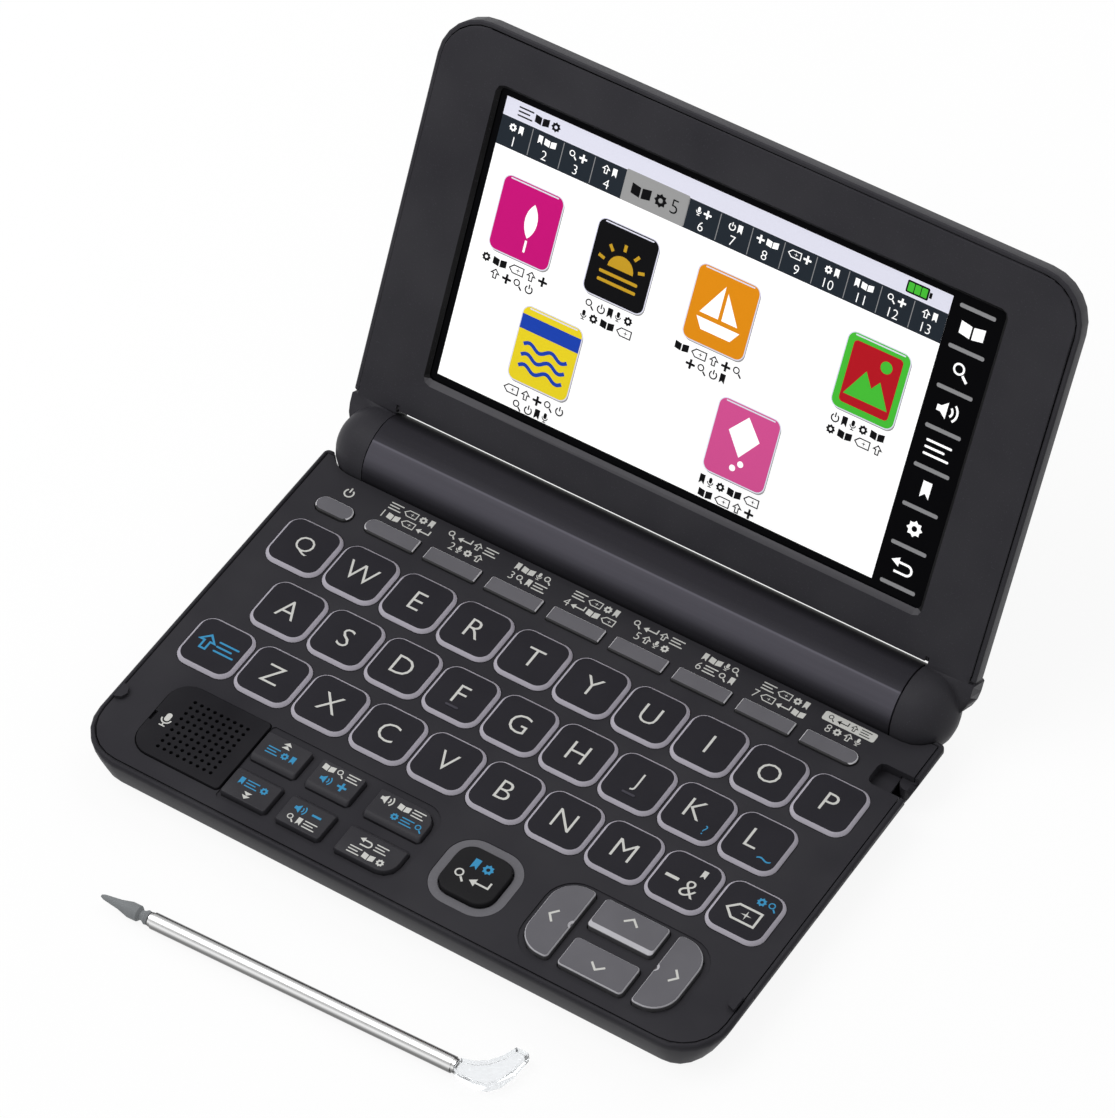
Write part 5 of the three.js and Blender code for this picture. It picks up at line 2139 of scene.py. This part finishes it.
    def tab_marks(self) -> tuple[list[Mark], list[Mark]]:
        """The marks on the dark tabs, and those on the chosen one.

        Returns:
            The two lists.
        """
        y = self.screen.rear - self.title_height - self.tab_height / 2
        plain, chosen = [], []
        for tab, (left, right) in enumerate(self.tab_spans()):
            middle = (left + right) / 2
            number = str(tab + 1)
            if tab == self.chosen_tab:
                signs = (Sign.BOOK, Sign.GEAR, number)
                chosen = Mark.row(signs, middle, y, self.chosen_height, self.chosen_gap)
            else:
                pair = [self.words[place % len(self.words)] for place in (tab, tab * 3 + 1)]
                low = y - self.tab_number_down
                plain += Mark.row(pair, middle, y + self.tab_signs_up)
                plain.append(Mark(number, middle, low, self.tab_number_height))
        return plain, chosen

    def captions(self) -> list[Mark]:
        """The dark signs on the title bar and in two lines under each cover.

        Returns:
            The marks.
        """
        x, height = self.title_signs
        y = self.screen.rear - self.title_height / 2
        marks = Mark.row((Sign.LINES, Sign.BOOK, Sign.GEAR), x, y, height)
        for place, cover in enumerate(self.covers):
            y = cover.y - cover.height / 2 - self.caption_drop
            for line, count in enumerate(self.caption_counts):
                order = (place * 2 + line * 3 + i * 4 for i in range(count))
                signs = [self.words[step % len(self.words)] for step in order]
                low = y - line * self.caption_pitch
                marks += Mark.row(signs, cover.x, low, self.caption_height, self.caption_gap)
        return marks

    def signs(self) -> None:
        """Print the numbers and signs on the picture, and the signs on the touch strip."""
        plain, chosen = self.tab_marks()
        x = (self.strip_left + self.strip_right) / 2
        order = (
            Sign.BOOK, Sign.LENS, Sign.SPEAKER, Sign.LINES, Sign.MARK, Sign.GEAR, Sign.BACK,
        )
        strip = [
            Mark(sign, x, (upper + lower) / 2, self.strip_sign)
            for sign, upper, lower in zip(order, self.strip_bars, self.strip_bars[1:])
        ]
        for lift, name, marks, ink in (
            (self.ink_lift, "picture_numbers", plain, Finish.SCREEN_WHITE),
            (self.ink_lift, "picture_number", chosen + self.captions(), Finish.SCREEN_BLACK),
            (self.strip_lift, "strip_signs", strip, Finish.SCREEN_WHITE),
        ):
            printer = Printer(self.ink_thickness, lift)
            printer.print(name, marks, on_lid(self.glass), "lid", "screen_glass", (ink,))


# Parts that keep their CAD shapes, or nearly


@dataclass
class Reshaped:
    """Two CAD nodes with small changes.

    The front flank is fuller at its foot, and the lid's lip lets light through above the barrel.
    """

    flank_top: float = 7.0
    flank_reach: float = 1.15
    flank_depth: float = 9.0
    lip_half: float = 62.7
    lip_out: Point = (-1.5, -1.0)
    lip_up: Point = (8.5, 9.2)
    lip_edge: float = 9.4
    sharp_degrees: float = 34.0

    def build(self, nodes: dict[str, bpy.types.Object]) -> None:
        """Make both pieces.

        Args:
            nodes: The CAD nodes by name.
        """
        for name, change, finish, slot, body in (
            ("bottom_case", self.fuller, Finish.CASE, "case_plastic", "base"),
            ("lid_frame", self.opened, Finish.LID, "lid_plastic", "lid"),
        ):
            shape = bmesh.new()
            shape.from_mesh(nodes[name].data)
            bmesh.ops.remove_doubles(shape, verts=shape.verts, dist=WELD)
            for vertex in shape.verts:
                change(vertex)
            made = Workshop.piece(
                f"shown_{name}", Workshop.from_shape(shape), Matrix.Identity(4), finish, slot,
                body, (name,), self.sharp_degrees,
            )
            made.modifiers.new("even_shading", "WEIGHTED_NORMAL").keep_sharp = True

    def fuller(self, vertex: bmesh.types.BMVert) -> None:
        """Bring the foot of the front flank forwards.

        Args:
            vertex: A corner of the casing.
        """
        height = vertex.co.z / MM
        behind = vertex.co.y / MM - FRONT_EDGE
        if height < self.flank_top and behind < self.flank_depth:
            share = 1 - max(height, 0.0) / self.flank_top
            share *= min(1.0, 2 * (1 - behind / self.flank_depth))
            vertex.co.y -= self.flank_reach * share * MM

    def opened(self, vertex: bmesh.types.BMVert) -> None:
        """Draw the lip under the lid up behind the frame.

        Args:
            vertex: A corner of the lid's frame.
        """
        x, y, z = (value / MM for value in vertex.co)
        across, up, out = lid_place(x, y - HINGE_Y, z - HINGE_Z)
        in_lip = self.lip_out[0] < out < self.lip_out[1] and self.lip_up[0] < up < self.lip_up[1]
        if abs(across) < self.lip_half and in_lip:
            upwards = Vector((0.0, -math.cos(LID_ANGLE), math.sin(LID_ANGLE)))
            vertex.co += (self.lip_edge - up) * MM * upwards


@dataclass
class CarriedParts:
    """CAD nodes with their finishes."""

    finishes: dict[str, Finish] = field(default_factory=lambda: {
        "bottom_case": Finish.CASE, "deck_case": Finish.CASE, "battery_cover": Finish.CASE,
        "lid_frame": Finish.LID, "lid_back_cover": Finish.LID_BACK, "display_panel": Finish.GLASS,
        "hinge_barrel": Finish.BARREL, "speaker_driver": Finish.SPEAKER,
        "circuit_board": Finish.BOARD, "key_mat": Finish.RUBBER, "battery_left": Finish.CELL,
        "battery_right": Finish.CELL, "hinge_pin_left": Finish.PIN, "hinge_pin_right": Finish.PIN,
        "pen_tube": Finish.STEEL, "pen_tip": Finish.NIB, "pen_head": Finish.CLEAR,
    })
    sharp_degrees: float = 34.0

    def build(self, nodes: dict[str, bpy.types.Object]) -> None:
        """Finish each node.

        Args:
            nodes: The CAD nodes by name.
        """
        group = self.edge_shading()
        for name, node in nodes.items():
            finish = self.finishes.get(name, Finish.GREY_KEY)
            node.data.materials.clear()
            node.data.materials.append(finish.material())
            node.modifiers.new("edge_shading", "NODES").node_group = group
            LOG.info("%s: %s", name, finish.name)

    def edge_shading(self) -> bpy.types.NodeTree:
        """Make the modifier that rounds the shading of fine steps and keeps real edges sharp.

        Returns:
            The modifier's node group.
        """
        group = bpy.data.node_groups.new("edge_shading", "GeometryNodeTree")
        for way in ("INPUT", "OUTPUT"):
            group.interface.new_socket("Geometry", in_out=way, socket_type="NodeSocketGeometry")
        graph = Graph(group)
        start = graph.node("NodeGroupInput")
        weld = {"Geometry": start, "Distance": WELD}
        turn = graph.node("GeometryNodeInputMeshEdgeAngle", output="Unsigned Angle")
        sharp = graph.node(
            "FunctionNodeCompare", inputs={0: turn, 1: math.radians(self.sharp_degrees)},
        )
        shaded = graph.node("GeometryNodeSetMeshNormal", {"mode": "SHARPNESS"}, {
            "Mesh": graph.node("GeometryNodeMergeByDistance", inputs=weld),
            "Remove Custom": True, "Face Sharpness": False, "Edge Sharpness": sharp,
        })
        graph.join(shaded, group.nodes.new("NodeGroupOutput").inputs[0])
        return group


def corners() -> list[list[float]]:
    """The box of what is shown, as plain numbers."""
    return [list(corner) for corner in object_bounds()]


def main() -> None:
    """Build the scene around the frame."""
    logging.basicConfig(level=logging.INFO, format="%(message)s")
    for thing in list(bpy.data.objects):
        bpy.data.objects.remove(thing)
    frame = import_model()
    Studio().build()
    CarriedParts().build(frame["nodes"])
    Reshaped().build(frame["nodes"])
    parts = (
        LetterKeys(), ControlKeys(), EnterKey(), ArrowKeys(), FunctionRow(), KeySurround(),
        Grille(), Display(),
    )
    for part in parts:
        part.build()


if __name__ == "__main__":
    main()
